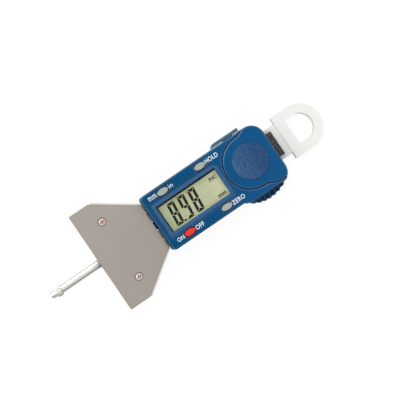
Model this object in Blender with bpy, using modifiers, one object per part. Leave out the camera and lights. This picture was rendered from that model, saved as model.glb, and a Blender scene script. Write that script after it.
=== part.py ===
"""Digital depth gauge: wide measuring base, sliding rod and pull ring, modelled lying on its back.

Sizes are in metres. Each piece is first placed with X = 0 on the measuring face, +X towards the
pull ring, +Y towards the port cover and Z = 0 on the back. The frame empty then moves the whole
gauge so that the origin lies below the middle of its box.
"""
import math

import bmesh
import bpy
from mathutils import Matrix, Vector

# Gaps between pieces, and what cutters and facets use
SEAT_GAP = 0.00025
SLIDE_GAP = 0.0003
PARTING_GAP = 0.0004
ROD_FIT = 0.0001
BEZEL_FIT = 0.0001
OVERRUN = 0.002
WELD = 0.000001
ARC_STEP = math.radians(11)
SMOOTH_ANGLE = math.radians(35)
EDGE_ANGLE = math.radians(30)
BLUNT_EDGE_ANGLE = math.radians(25)
UPRIGHT_SHARE = 0.5
SMALL_SEGMENTS = 8
FINE_SEGMENTS = 16
ROUND_SEGMENTS = 24
WIDE_SEGMENTS = 40

# Measuring base
BASE_WIDTH = 0.0553
BASE_DEPTH = 0.0329
BASE_SIDE = 0.0129
NECK_WIDTH = 0.0272
PLATE_SLANT_INSET = 0.0011
BASE_EDGE = 0.0003
FACE_PLATE_THICKNESS = 0.0010
FACE_PLATE_EDGE = 0.00015
TAB_WIDTH = 0.0012
TAB_SPREAD = 0.0160
TONGUE_WIDTH = 0.0252
TONGUE_REACH = 0.0049
BUSH_WALL = 0.0006
BUSH_SHOULDER = 0.0010
BUSH_REAR_INSET = 0.0030
RECESS_SPARE = 0.0004

# Countersunk base screws, M2
BASE_SCREW_INSET = 0.0123
BASE_SCREW_SPREAD = 0.0327
BASE_SCREW_HEAD_RADIUS = 0.00195
BASE_SCREW_HEAD_HEIGHT = 0.0009
BASE_SCREW_RADIUS = 0.0010
BASE_SCREW_LENGTH = 0.0048
CROSS_WIDTH = 0.0005
CROSS_SPAN = 0.0022
CROSS_DEPTH = 0.0006

# Measuring rod and contact point
ROD_RADIUS = 0.0020
TIP_REACH = 0.0289
COLLAR_LENGTH = 0.0029
COLLAR_RADIUS = 0.00275
COLLAR_EDGE = 0.0003
CONE_LENGTH = 0.0030
CONE_RADIUS = 0.0020
TIP_RADIUS = 0.0015
TIP_EDGE = 0.0002
STUD_RADIUS = 0.0006
STUD_LENGTH = 0.0030
SPIGOT_RADIUS = 0.0010
OUT_TRAVEL = 0.0010

# Beam, rod block and scale strip
BEAM_WIDTH = 0.0172
BEAM_THICKNESS = 0.0024
BEAM_SHOWN = 0.0077
BEAM_EDGE = 0.00015
BLOCK_LENGTH = 0.0084
BLOCK_WIDTH = 0.0090
BLOCK_HALF_HEIGHT = 0.0017
BLOCK_EDGE = 0.0002
PIN_RADIUS = 0.0005
PIN_LENGTH = 0.0052
PIN_SIDE_INSET = 0.0004
SCALE_WIDTH = 0.0133
SCALE_THICKNESS = 0.0006
SCALE_SHOWN = 0.0041
SCALE_START = 0.0012

# Pull ring
RING_WIDTH = 0.0240
RING_STRAIGHT = 0.0099
RING_BAR = 0.0053
RING_WALL = 0.0048
RING_HOLE_CORNER = 0.0015
RING_CORNER = 0.0006
RING_THICKNESS = 0.0050
RING_EDGE = 0.0006
RING_POCKET_DEPTH = 0.0037
RING_SCREW_SPREAD = 0.0110
RING_SCREW_RADIUS = 0.0006
RING_SCREW_HEAD_RADIUS = 0.0010
RING_SCREW_HEAD_HEIGHT = 0.0004
RING_SCREW_LENGTH = 0.0034

# Housing shells
NECK_GAP = 0.0008
REAR_WALL = 0.0013
FRONT_WALL = 0.0018
SIDE_WALL = 0.0014
END_WALL = 0.0015
FRONT_EDGE = 0.0010
REAR_EDGE = 0.0006
FRONT_CORNER = 0.0018
TAIL_CORNER = 0.0072
LUG_TAIL_CORNER = 0.0080
ROOM_SHARE = 0.96
GUIDE_WALL = 0.0012
RIDE_WIDTH = 0.0018

# Thumb lug on the -Y side
LUG_RADIUS = 0.0172
LUG_PROUD = 0.0055
LUG_SET_BACK = 0.0004
LUG_HALF_ANGLE = math.radians(42)
LUG_SHELF = 0.0016
LUG_SHELF_WALL = 0.0007
LUG_EDGE_HEIGHT = 0.0065
LUG_ROOT_CORNER = 0.0015
FLUTE_COUNT = 8
FLUTE_PITCH = 0.0028
FLUTE_DEPTH = 0.0004
FLANK_GROOVE_DEPTH = 0.0009
FLUTE_WIDTH_SHARE = 0.62

# Housing screws, self-tapping, from behind
HOUSING_SCREW_RADIUS = 0.0008
HOUSING_SCREW_HEAD_RADIUS = 0.0014
HOUSING_SCREW_HEAD_HEIGHT = 0.0008
HOUSING_SCREW_SINK = 0.0002
HOUSING_SCREW_LENGTH = 0.0075
FRONT_SCREW_INSET = 0.0020
FRONT_SCREW_SPREAD = 0.0172
TAIL_SCREW_INSET = 0.0043
TAIL_SCREW_SPREAD = 0.0224
FRONT_BOSS_WIDTH = 0.0042
FRONT_BOSS_REACH = 0.0027

# Circuit board and what stands on it
SENSOR_GAP = 0.00035
BOARD_THICKNESS = 0.0010
BOARD_SIDE_GAP = 0.0004
BOARD_CORNER = 0.0045
BOARD_TAIL_INSET = 0.0061
BOARD_SCREW_RADIUS = 0.0006
BOARD_SCREW_HEAD_RADIUS = 0.0011
BOARD_SCREW_HEAD_HEIGHT = 0.0004
BOARD_SCREW_LENGTH = 0.0040
BOARD_BOSS_RADIUS = 0.0015
BOARD_SCREW_TAIL_ROW = 0.0100
CHIP_RADIUS = 0.0042
CHIP_HEIGHT = 0.0011
CAPACITOR_LENGTH = 0.0016
CAPACITOR_WIDTH = 0.0008
CAPACITOR_HEIGHT = 0.0008
CAPACITOR_COUNT = 2
CAPACITOR_PITCH = 0.0024
CRYSTAL_RADIUS = 0.00075
CRYSTAL_LENGTH = 0.0050
DOME_RADIUS = 0.0016
DOME_HEIGHT = 0.0004
DOME_SHOULDER_SHARE = 0.875
PAD_COUNT = 4
PAD_PITCH = 0.0020
PAD_WIDTH = 0.0011
PAD_LENGTH = 0.0014
PAD_THICKNESS = 0.0002

# Display stack
WINDOW_LENGTH = 0.0347
WINDOW_HEIGHT = 0.0150
BEZEL_FRAME_END = 0.00205
BEZEL_FRAME_SIDE = 0.0020
BEZEL_THICKNESS = 0.0009
BEZEL_RECESS = 0.00065
BEZEL_CORNER_FRONT = 0.0012
BEZEL_CORNER_TAIL = 0.0030
BEZEL_EDGE = 0.00025
BEZEL_LEDGE = 0.0009
BEZEL_INSET = 0.0023
WINDOW_CORNER = 0.0003
LENS_MARGIN = 0.0007
LENS_THICKNESS = 0.0008
LENS_CORNER = 0.0015
GLASS_MARGIN = 0.0006
GLASS_THICKNESS = 0.0018
ZEBRA_HEIGHT = 0.00305
ZEBRA_WIDTH = 0.0012
ZEBRA_LENGTH = 0.0300
HOLDER_WALL = 0.0008

# Buttons
BUTTON_LENGTH = 0.0061
BUTTON_WIDTH = 0.0031
BUTTON_ROW_SHARE = 0.55
BUTTON_FRONT_INSET = 0.0115
BUTTON_PITCH = 0.0222
BUTTON_PROUD = 0.0007
BUTTON_EDGE = 0.0005
BUTTON_TRAVEL = 0.0005
BUTTON_EAR = 0.0008
BUTTON_EAR_HEIGHT = 0.0008
STEM_LENGTH = 0.0030
STEM_WIDTH = 0.0018

# Battery, its well, contacts and cover
CELL_RADIUS = 0.0100
CELL_HEIGHT = 0.0032
CELL_CAP_RADIUS = 0.0086
CELL_CAP_HEIGHT = 0.0004
CELL_EDGE = 0.0003
CELL_GAP = 0.0003
CELL_TOP_GAP = 0.0004
WELL_WALL = 0.0009
WELL_STAND = 0.00045
DECK_THICKNESS = 0.0010
SLOT_WALL = 0.0002
COVER_THICKNESS = 0.0014
COVER_RIM = 0.0040
COVER_LEG = 0.0008
COVER_LEDGE = 0.0014
COVER_LEG_LENGTH = 0.0108
COVER_LEG_LEAD = 0.0035
COVER_FOOT_HEIGHT = 0.0007
COVER_FOOT_REACH = 0.0008
COVER_END_LENGTH = 0.0019
COVER_END_HEIGHT = 0.0030
COVER_TO_CELL = 0.0018
COVER_TO_BEZEL = 0.0008
FLARE_START = 0.0026
FLARE_CORNER = 0.0040
FLARE_ANGLE = math.radians(27)
CONTACT_SHEET = 0.0002
CONTACT_WIDTH = 0.0028
CONTACT_FOOT = 0.0020
SPRING_FOOT = 0.0045
SPRING_REACH = 0.0080

# Data port and its sliding cover
PORT_LENGTH = 0.0110
PORT_HEIGHT = 0.0024
PORT_FLOOR = 0.0005
PORT_TAIL_INSET = 0.0180
PORT_COVER_LENGTH = 0.0168
PORT_COVER_HEIGHT = 0.0050
PORT_COVER_PROUD = 0.00175
PORT_COVER_LEAD = 0.0014
PORT_RIB_PITCH = 0.0009
PORT_RIB_DEPTH = 0.0004
PORT_RIB_SHARE = 0.55
PORT_FOOT_LENGTH = 0.0060
PORT_FOOT_HEIGHT = 0.0018
PORT_FOOT_THICKNESS = 0.0004
PORT_WEB_HEIGHT = 0.0006
PORT_TRAVEL = 0.0120

# Gib strip beside the beam
GIB_THICKNESS = 0.0003
GIB_LENGTH = 0.0340
GIB_START = 0.0260
GIB_EDGE_INSET = 0.0004

# Heights, from the back upwards
rod_height = REAR_WALL + SLIDE_GAP + ROD_RADIUS
base_top = 2 * rod_height
plate_low = base_top + SEAT_GAP
plate_top = plate_low + FACE_PLATE_THICKNESS
beam_low = rod_height - BEAM_THICKNESS / 2
beam_top = rod_height + BEAM_THICKNESS / 2
rear_top = beam_top + SLIDE_GAP
front_low = rear_top + SEAT_GAP
scale_low = beam_top + SEAT_GAP
scale_top = scale_low + SCALE_THICKNESS
board_low = scale_top + SENSOR_GAP
board_top = board_low + BOARD_THICKNESS
on_board = board_top + SEAT_GAP
zebra_top = on_board + ZEBRA_HEIGHT
glass_low = zebra_top + SEAT_GAP
glass_top = glass_low + GLASS_THICKNESS
lens_low = glass_top + SEAT_GAP
lens_top = lens_low + LENS_THICKNESS
bezel_low = lens_top + SEAT_GAP
bezel_top = bezel_low + BEZEL_THICKNESS
front_top = bezel_low + BEZEL_RECESS
front_inside = front_top - FRONT_WALL
cover_low = front_top - COVER_THICKNESS
cover_end_low = cover_low - COVER_END_HEIGHT
deck_top = cover_low - SLIDE_GAP
deck_low = deck_top - DECK_THICKNESS
foot_top = deck_low - SLIDE_GAP
foot_low = foot_top - COVER_FOOT_HEIGHT
cell_top = cover_low - CELL_TOP_GAP
cell_low = cell_top - CELL_HEIGHT
dome_top = on_board + DOME_HEIGHT

# Widths, from the cell outwards
well_outside = CELL_RADIUS + CELL_GAP + WELL_WALL
leg_inside = well_outside + SLOT_WALL + SLIDE_GAP
leg_outside = leg_inside + COVER_LEG
ledge_inside = leg_outside + SLIDE_GAP
cavity_half = ledge_inside + COVER_LEDGE
housing_half = cavity_half + SIDE_WALL
board_half = cavity_half - BOARD_SIDE_GAP
beam_half = BEAM_WIDTH / 2
channel_half = beam_half + SLIDE_GAP
bezel_width = WINDOW_HEIGHT + 2 * BEZEL_FRAME_SIDE
button_row = bezel_width / 2 + (cavity_half - bezel_width / 2) * BUTTON_ROW_SHARE
lug_line = housing_half + LUG_SHELF
lug_outside = housing_half + LUG_PROUD

# Lengths, from the measuring face to the ring
housing_front = BASE_DEPTH + NECK_GAP
cavity_front = housing_front + END_WALL
tongue_end = BASE_DEPTH + TONGUE_REACH
bezel_length = WINDOW_LENGTH + 2 * BEZEL_FRAME_END
bezel_middle = housing_front + BEZEL_INSET + bezel_length / 2
bezel_end = bezel_middle + bezel_length / 2
cover_radius = CELL_RADIUS + COVER_RIM
cell_middle = bezel_end + COVER_TO_BEZEL + cover_radius
cover_end_inside = cell_middle + CELL_RADIUS + COVER_TO_CELL
housing_tail = cover_end_inside + COVER_END_LENGTH
board_front = cavity_front + FRONT_BOSS_REACH + SLIDE_GAP
board_tail = housing_tail - BOARD_TAIL_INSET
beam_front = tongue_end + SLIDE_GAP + OUT_TRAVEL
block_rear = beam_front + BLOCK_LENGTH
block_middle = beam_front + BLOCK_LENGTH / 2
ring_front = housing_tail + BEAM_SHOWN
ring_middle = ring_front + RING_STRAIGHT
ring_end = ring_middle + RING_WIDTH / 2
contact_length = COLLAR_LENGTH + CONE_LENGTH
rod_front = contact_length - TIP_REACH
in_travel = TIP_REACH
recess_end = contact_length + RECESS_SPARE
bush_front = recess_end + BUSH_SHOULDER
bush_outside = ROD_RADIUS + ROD_FIT + BUSH_WALL
lug_middle = cell_middle - LUG_SET_BACK
lug_centre = LUG_RADIUS - lug_outside
port_middle = housing_tail - PORT_TAIL_INSET
port_height_middle = on_board + PORT_FLOOR + PORT_HEIGHT / 2
button_front = housing_front + BUTTON_FRONT_INSET
button_rear = button_front + BUTTON_PITCH
housing_screws = [
    (housing_front + FRONT_SCREW_INSET, FRONT_SCREW_SPREAD / 2),
    (housing_front + FRONT_SCREW_INSET, -FRONT_SCREW_SPREAD / 2),
    (housing_tail - TAIL_SCREW_INSET, TAIL_SCREW_SPREAD / 2),
    (housing_tail - TAIL_SCREW_INSET, -TAIL_SCREW_SPREAD / 2),
]
board_screw_middle = (button_front + button_rear) / 2
board_screw_tail = (bezel_end + cell_middle - well_outside) / 2
board_screws = [
    (board_screw_middle, button_row),
    (board_screw_middle, -button_row),
    (board_screw_tail, BOARD_SCREW_TAIL_ROW),
    (board_screw_tail, -BOARD_SCREW_TAIL_ROW),
]
base_screws = [
    (BASE_SCREW_INSET, BASE_SCREW_SPREAD / 2),
    (BASE_SCREW_INSET, -BASE_SCREW_SPREAD / 2),
]
ring_screws = [
    (ring_front + RING_POCKET_DEPTH / 2, RING_SCREW_SPREAD / 2),
    (ring_front + RING_POCKET_DEPTH / 2, -RING_SCREW_SPREAD / 2),
]
buttons = {
    "button_mm_in": (button_front, button_row),
    "button_hold": (button_rear, button_row),
    "button_power": (button_front, -button_row),
    "button_zero": (button_rear, -button_row),
}

# Which way a flat outline faces: its own x and y run along these world axes
FLAT = (0, 0, 0)
SIDE_ON = (math.pi / 2, 0, 0)
END_ON = (math.pi / 2, 0, math.pi / 2)

# Finish of each kind of material: linear colour, roughness, metallic
BLUE_ABS = ((0.004, 0.075, 0.205), 0.35, 0.0)
BEZEL_BLUE = ((0.027, 0.103, 0.296), 0.3, 0.0)
STEEL = ((0.60, 0.60, 0.58), 0.3, 1.0)
GROUND_STEEL = ((0.38, 0.35, 0.31), 0.45, 1.0)
BRASS = ((0.60, 0.42, 0.20), 0.35, 1.0)
BRONZE = ((0.45, 0.30, 0.16), 0.4, 1.0)
LIGHT_PLASTIC = ((0.84, 0.84, 0.81), 0.45, 0.0)
SCALE_BLACK = ((0.045, 0.040, 0.035), 0.5, 0.0)
CLEAR_ACRYLIC = ((0.80, 0.83, 0.80), 0.05, 0.0)
LCD_SAGE = ((0.50, 0.51, 0.31), 0.25, 0.0)
WHITE_PLASTIC = ((0.78, 0.78, 0.76), 0.5, 0.0)
ZEBRA_RUBBER = ((0.55, 0.55, 0.58), 0.7, 0.0)
BOARD_GREEN = ((0.02, 0.16, 0.06), 0.5, 0.0)
RESIN_BLACK = ((0.012, 0.012, 0.013), 0.4, 0.0)
GREY_RUBBER = ((0.53, 0.54, 0.48), 0.5, 0.0)
RED_RUBBER = ((1.0, 0.045, 0.032), 0.45, 0.0)
GOLD = ((0.80, 0.58, 0.22), 0.25, 1.0)


def empty_scene():
    """Remove what the scene holds and return collections for the parts and the cutters."""
    for old in list(bpy.data.objects):
        bpy.data.objects.remove(old)
    parts = bpy.data.collections.new("depth_gauge")
    cutters = bpy.data.collections.new("cutters")
    for collection in (parts, cutters):
        bpy.context.scene.collection.children.link(collection)
    return parts, cutters


PARTS, CUTTERS = empty_scene()


def new_object(name, mesh, location=(0, 0, 0), rotation=FLAT):
    """Object with a mesh, in the collection for cutters until it is made a part."""
    piece = bpy.data.objects.new(name, mesh)
    piece.location = location
    piece.rotation_euler = rotation
    CUTTERS.objects.link(piece)
    return piece


def mesh_from(name, build):
    """Mesh that a function fills through bmesh."""
    mesh = bpy.data.meshes.new(name)
    work = bmesh.new()
    build(work)
    work.to_mesh(mesh)
    work.free()
    return mesh


def box(name, low, high):
    """Box between two corners, with its origin at its middle."""
    low, high = Vector(low), Vector(high)
    size = Matrix.Diagonal((*(high - low), 1))
    mesh = mesh_from(name, lambda work: bmesh.ops.create_cube(work, size=1, matrix=size))
    return new_object(name, mesh, (low + high) / 2)


def cylinder(name, radius, start, length, rotation=FLAT, segments=FINE_SEGMENTS):
    """Cylinder whose first end is centred on start and which runs along its turned Z axis."""
    up = Matrix.Translation((0, 0, length / 2))
    mesh = mesh_from(name, lambda work: bmesh.ops.create_cone(
        work, cap_ends=True, segments=segments, radius1=radius, radius2=radius, depth=length, matrix=up))
    mesh.shade_smooth()
    mesh.set_sharp_from_angle(angle=SMOOTH_ANGLE)
    return new_object(name, mesh, start, rotation)


def filleted(corners):
    """Points of a closed outline whose corners, given as x, y and radius, are rounded."""
    points = []
    for index, (x, y, radius) in enumerate(corners):
        corner = Vector((x, y))
        if radius == 0:
            points.append((x, y))
            continue
        before = (Vector(corners[index - 1][:2]) - corner).normalized()
        after = (Vector(corners[(index + 1) % len(corners)][:2]) - corner).normalized()
        half = before.angle(after) / 2
        middle = corner + (before + after).normalized() * (radius / math.sin(half))
        start = corner + before * (radius / math.tan(half)) - middle
        turn = math.pi - 2 * half
        steps = max(1, math.ceil(turn / ARC_STEP))
        side = 1 if before.cross(after) < 0 else -1
        for step in range(steps + 1):
            arm = start.copy()
            arm.rotate(Matrix.Rotation(side * turn * step / steps, 2))
            points.append(tuple(middle + arm))
    return [point for index, point in enumerate(points) if math.dist(point, points[index - 1]) > WELD]


def grown(corners, amount):
    """Corners of the outline that lies the given amount outside a counter-clockwise one."""
    moved = []
    for index, (x, y, radius) in enumerate(corners):
        corner = Vector((x, y))
        before = (corner - Vector(corners[index - 1][:2])).normalized()
        after = (Vector(corners[(index + 1) % len(corners)][:2]) - corner).normalized()
        outward = Vector((before.y, -before.x)) + Vector((after.y, -after.x))
        outward *= amount * 2 / outward.length_squared
        convex = before.cross(after) > 0
        new_radius = 0 if radius == 0 else radius + (amount if convex else -amount)
        moved.append((x + outward.x, y + outward.y, max(new_radius, 0)))
    return moved


def rectangle(low_x, high_x, low_y, high_y, radius=0):
    """Corners of an upright rectangle, counter-clockwise."""
    return [(low_x, low_y, radius), (high_x, low_y, radius),
            (high_x, high_y, radius), (low_x, high_y, radius)]


def circle(x, y, radius, segments=FINE_SEGMENTS):
    """Points of a circle."""
    turns = [2 * math.pi * step / segments for step in range(segments)]
    return [(x + radius * math.cos(turn), y + radius * math.sin(turn)) for turn in turns]


def prism(name, loops, low, high, rotation=FLAT):
    """Solid between two heights, from an outer loop of points and any loops of holes."""
    curve = bpy.data.curves.new(name, "CURVE")
    curve.dimensions = "2D"
    curve.fill_mode = "BOTH"
    curve.extrude = (high - low) / 2
    for loop in loops:
        spline = curve.splines.new("POLY")
        spline.points.add(len(loop) - 1)
        for point, (x, y) in zip(spline.points, loop):
            point.co = (x, y, 0, 1)
        spline.use_cyclic_u = True
    guide = bpy.data.objects.new(f"{name}_guide", curve)
    guide.rotation_euler = rotation
    guide.location = guide.rotation_euler.to_matrix() @ Vector((0, 0, (low + high) / 2))
    bpy.context.scene.collection.objects.link(guide)
    bpy.context.view_layer.update()
    mesh = bpy.data.meshes.new_from_object(guide.evaluated_get(bpy.context.evaluated_depsgraph_get()))
    work = bmesh.new()
    work.from_mesh(mesh)
    bmesh.ops.remove_doubles(work, verts=work.verts, dist=WELD)
    bmesh.ops.recalc_face_normals(work, faces=work.faces)
    work.to_mesh(mesh)
    work.free()
    mesh.materials.clear()
    piece = new_object(name, mesh)
    piece.matrix_world = guide.matrix_world
    bpy.data.objects.remove(guide)
    bpy.data.curves.remove(curve)
    mesh.shade_smooth()
    mesh.set_sharp_from_angle(angle=SMOOTH_ANGLE)
    return piece


def turned(name, profile, origin, rotation=FLAT, segments=ROUND_SEGMENTS):
    """Solid of revolution from points of radius and height, listed down the outer side."""
    mesh = bpy.data.meshes.new(name)
    edges = [(index, index + 1) for index in range(len(profile) - 1)]
    if profile[0][0] > 0:
        edges.append((len(profile) - 1, 0))
    mesh.from_pydata([(radius, 0, height) for radius, height in profile], edges, [])
    piece = new_object(name, mesh, origin, rotation)
    screw = piece.modifiers.new("turn", "SCREW")
    screw.axis = "Z"
    screw.steps = segments
    screw.render_steps = segments
    screw.use_merge_vertices = True
    screw.merge_threshold = WELD
    screw.use_smooth_shade = True
    return piece


def bevel(piece, width, segments=1, angle=EDGE_ANGLE):
    """Round every edge that is sharper than an angle."""
    rounding = piece.modifiers.new("edges", "BEVEL")
    rounding.width = width
    rounding.segments = segments
    rounding.limit_method = "ANGLE"
    rounding.angle_limit = angle
    return piece


def bevel_rim(piece, local_height, width, segments):
    """Round only the rim at one height of an upright prism."""
    mesh = piece.data
    weights = mesh.attributes.new("bevel_weight_edge", "FLOAT", "EDGE")
    sharp = {tuple(sorted(edge.vertices)) for edge in mesh.edges if on_rim(mesh, edge, local_height)}
    for edge in mesh.edges:
        weights.data[edge.index].value = 1.0 if tuple(sorted(edge.vertices)) in sharp else 0.0
    rounding = piece.modifiers.new("rim", "BEVEL")
    rounding.width = width
    rounding.segments = segments
    rounding.limit_method = "WEIGHT"
    return piece


def on_rim(mesh, edge, local_height):
    """Whether an edge lies between the cap at a height and the wall below or above it."""
    ends = [mesh.vertices[index] for index in edge.vertices]
    if any(abs(end.co.z - local_height) > WELD for end in ends):
        return False
    faces = [face for face in mesh.polygons if set(edge.vertices) <= set(face.vertices)]
    return any(abs(face.normal.z) < UPRIGHT_SHARE for face in faces)


def boolean(piece, tool, operation, solver="EXACT"):
    """Cut a piece by a tool, join the tool to it or keep what both fill."""
    change = piece.modifiers.new(tool.name, "BOOLEAN")
    change.object = tool
    change.operation = operation
    change.solver = solver
    tool.hide_render = True
    tool.display_type = "WIRE"
    return piece


def cut(piece, *tools):
    """Take tools out of a piece."""
    for tool in tools:
        boolean(piece, tool, "DIFFERENCE")
    return piece


def join(piece, *tools):
    """Make tools part of a piece."""
    for tool in tools:
        boolean(piece, tool, "UNION")
    return piece


def baked(model):
    """Mesh of a model as its modifiers leave it, in place; the model itself is removed."""
    bpy.context.view_layer.update()
    shape = bpy.data.meshes.new_from_object(model.evaluated_get(bpy.context.evaluated_depsgraph_get()))
    shape.transform(model.matrix_world)
    tools = [change.object for change in model.modifiers if change.type == "BOOLEAN"]
    for used in (*tools, model):
        bpy.data.objects.remove(used)
    return shape


def copies(name, model, places):
    """One tool made of copies of a model at several x, y places."""
    shape = baked(model)

    def build(work):
        for x, y in places:
            start = len(work.verts)
            work.from_mesh(shape)
            work.verts.ensure_lookup_table()
            bmesh.ops.translate(work, verts=work.verts[start:], vec=(x, y, 0))

    return new_object(name, mesh_from(name, build))


def repeated(name, model, places, look):
    """Equal pieces that share a mesh, one at each x, y place."""
    shape = baked(model)
    shape.name = name
    shape.materials.clear()
    shape.materials.append(new_material(name, look))
    pieces = [new_object(f"{name}_{index + 1}", shape, (x, y, 0)) for index, (x, y) in enumerate(places)]
    for piece in pieces:
        to_parts(piece)
    return pieces


def to_parts(piece):
    """Move an object from the cutters to the parts."""
    CUTTERS.objects.unlink(piece)
    PARTS.objects.link(piece)
    return piece


def new_material(name, look):
    """Material with a colour, a roughness and a metallic value."""
    colour, roughness, metallic = look
    material = bpy.data.materials.new(name)
    material.use_nodes = True
    shader = material.node_tree.nodes["Principled BSDF"]
    shader.inputs["Base Color"].default_value = (*colour, 1)
    shader.inputs["Roughness"].default_value = roughness
    shader.inputs["Metallic"].default_value = metallic
    material.diffuse_color = (*colour, 1)
    return material


def finish(piece, look):
    """Make an object a part of the gauge with a material of its own."""
    piece.data.materials.append(new_material(piece.name, look))
    return to_parts(piece)


def screw_model(name, radius, length, head_radius, head_height, low, upward):
    """Plain-headed screw at x = y = 0, with its head's outer face at a height."""
    sign = 1 if upward else -1
    profile = [(0, 0), (head_radius, 0), (head_radius, head_height), (radius, head_height),
               (radius, length), (0, length)]
    if upward:
        profile.reverse()
    return turned(name, [(r, sign * h) for r, h in profile], (0, 0, low), segments=FINE_SEGMENTS)


def base_outline(slant_inset=0):
    """Corners of the measuring base, with its two slanted sides moved inwards by an amount."""
    half = BASE_WIDTH / 2
    slope = math.atan2(half - NECK_WIDTH / 2, BASE_DEPTH - BASE_SIDE)
    side = BASE_SIDE - slant_inset / math.sin(slope)
    neck = NECK_WIDTH / 2 - slant_inset / math.cos(slope)
    return [(0, half, 0), (0, -half, 0), (side, -half, 0), (BASE_DEPTH, -neck, 0),
            (BASE_DEPTH, neck, 0), (side, half, 0)]


def housing_outline():
    """Corners of both shells, with the thumb lug on the -Y side."""
    lean = math.tan(LUG_HALF_ANGLE)
    apex = lug_centre - LUG_RADIUS / math.cos(LUG_HALF_ANGLE)
    root = lug_middle - (-housing_half - apex) / lean
    tail_y = apex + (housing_tail - lug_middle) * lean
    flank = (housing_tail - lug_middle) / math.cos(LUG_HALF_ANGLE)
    room = (flank - LUG_RADIUS * lean) / math.tan((math.pi / 2 - LUG_HALF_ANGLE) / 2)
    tail_corner = min(LUG_TAIL_CORNER, room * ROOM_SHARE)
    return [(housing_front, housing_half, FRONT_CORNER), (housing_front, -housing_half, FRONT_CORNER),
            (root, -housing_half, LUG_ROOT_CORNER), (lug_middle, apex, LUG_RADIUS),
            (housing_tail, tail_y, tail_corner), (housing_tail, housing_half, TAIL_CORNER)]


def cover_outline():
    """Corners of the region that the battery cover fills, open past the tail."""
    flare_start = cell_middle + FLARE_START - math.tan(FLARE_ANGLE / 2) * FLARE_CORNER
    shelf = -(lug_line - LUG_SHELF_WALL)
    rise = housing_half + OVERRUN
    flare = math.tan(FLARE_ANGLE)
    left = cell_middle - cover_radius
    past = housing_tail + OVERRUN
    return [(left, cover_radius, cover_radius), (left, -cover_radius, cover_radius),
            (flare_start, -cover_radius, FLARE_CORNER),
            (flare_start + (-shelf - cover_radius) / flare, shelf, FLARE_CORNER),
            (past, shelf, 0), (past, rise, 0),
            (flare_start + (rise - cover_radius) / flare, rise, 0),
            (flare_start, cover_radius, FLARE_CORNER)]


def make_base_body():
    """Thick steel base with its measuring face, the rod's bore and the tongue into the housing."""
    body = bevel(prism("base_body", [filleted(base_outline())], 0, base_top), BASE_EDGE,
                 angle=BLUNT_EDGE_ANGLE)
    tongue = box("tongue", (BASE_DEPTH - OVERRUN, -TONGUE_WIDTH / 2, beam_low),
                 (tongue_end, TONGUE_WIDTH / 2, beam_top))
    bore_radius = bush_outside + SEAT_GAP
    recess_radius = COLLAR_RADIUS + SLIDE_GAP
    rod_hole = ROD_RADIUS + SLIDE_GAP
    bore = turned("bore", [(0, tongue_end + OVERRUN), (bore_radius, tongue_end + OVERRUN),
                           (bore_radius, bush_front), (rod_hole, bush_front), (rod_hole, recess_end),
                           (recess_radius, recess_end), (recess_radius, -OVERRUN), (0, -OVERRUN)],
                  (0, 0, rod_height), (0, math.pi / 2, 0))
    shank_hole = BASE_SCREW_RADIUS + SEAT_GAP
    depth = BASE_SCREW_LENGTH + SEAT_GAP
    drill = cylinder("base_drill", shank_hole, (0, 0, plate_top - depth), depth + OVERRUN)
    taps = copies("base_taps", drill, base_screws)
    passage = cylinder("tongue_drill", HOUSING_SCREW_RADIUS + SEAT_GAP, (0, 0, beam_low - OVERRUN),
                       BEAM_THICKNESS + 2 * OVERRUN)
    passages = copies("tongue_holes", passage, housing_screws[:2])
    return finish(cut(join(body, tongue), bore, taps, passages), STEEL)


def make_base_front_plate():
    """Flat plate on the base, countersunk for its screws, with two tabs towards the housing."""
    tab_end = housing_front - SEAT_GAP
    outline = base_outline(PLATE_SLANT_INSET)
    tabs = []
    for middle in (-TAB_SPREAD / 2, TAB_SPREAD / 2):
        low, high = middle - TAB_WIDTH / 2, middle + TAB_WIDTH / 2
        tabs += [(BASE_DEPTH, low, 0), (tab_end, low, 0), (tab_end, high, 0), (BASE_DEPTH, high, 0)]
    corners = outline[:4] + tabs + outline[4:]
    plate = bevel(prism("base_front_plate", [filleted(corners)], plate_low, plate_top), FACE_PLATE_EDGE,
                  angle=BLUNT_EDGE_ANGLE)
    wide = BASE_SCREW_HEAD_RADIUS + SEAT_GAP
    narrow = BASE_SCREW_RADIUS + SEAT_GAP
    slope_end = plate_top - BASE_SCREW_HEAD_HEIGHT
    sink = turned("sink", [(0, plate_top + OVERRUN), (wide, plate_top + OVERRUN), (wide, plate_top),
                           (narrow, slope_end), (narrow, plate_low - OVERRUN),
                           (0, plate_low - OVERRUN)], (0, 0, 0), segments=ROUND_SEGMENTS)
    return finish(cut(plate, copies("sinks", sink, base_screws)), GROUND_STEEL)


def make_base_screws():
    """Two countersunk screws with cross recesses."""
    tip = plate_top - BASE_SCREW_LENGTH
    profile = [(0, plate_top), (BASE_SCREW_HEAD_RADIUS, plate_top),
               (BASE_SCREW_RADIUS, plate_top - BASE_SCREW_HEAD_HEIGHT), (BASE_SCREW_RADIUS, tip), (0, tip)]
    model = turned("base_screw_model", profile, (0, 0, 0))
    floor = plate_top - CROSS_DEPTH
    arms = [(CROSS_SPAN / 2, CROSS_WIDTH / 2), (CROSS_WIDTH / 2, CROSS_SPAN / 2)]
    for index, (x, y) in enumerate(arms):
        cut(model, box(f"cross_{index}", (-x, -y, floor), (x, y, plate_top + OVERRUN)))
    return repeated("base_screw", model, base_screws, BRASS)


def make_rod_bush():
    """Bronze bush that guides the rod, pressed in from behind."""
    inside = ROD_RADIUS + ROD_FIT
    front = bush_front + SEAT_GAP
    rear = BASE_DEPTH - BUSH_REAR_INSET
    profile = [(bush_outside, rear), (bush_outside, front), (inside, front), (inside, rear)]
    return finish(turned("rod_bush", profile, (0, 0, rod_height), (0, math.pi / 2, 0)), BRONZE)


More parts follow.
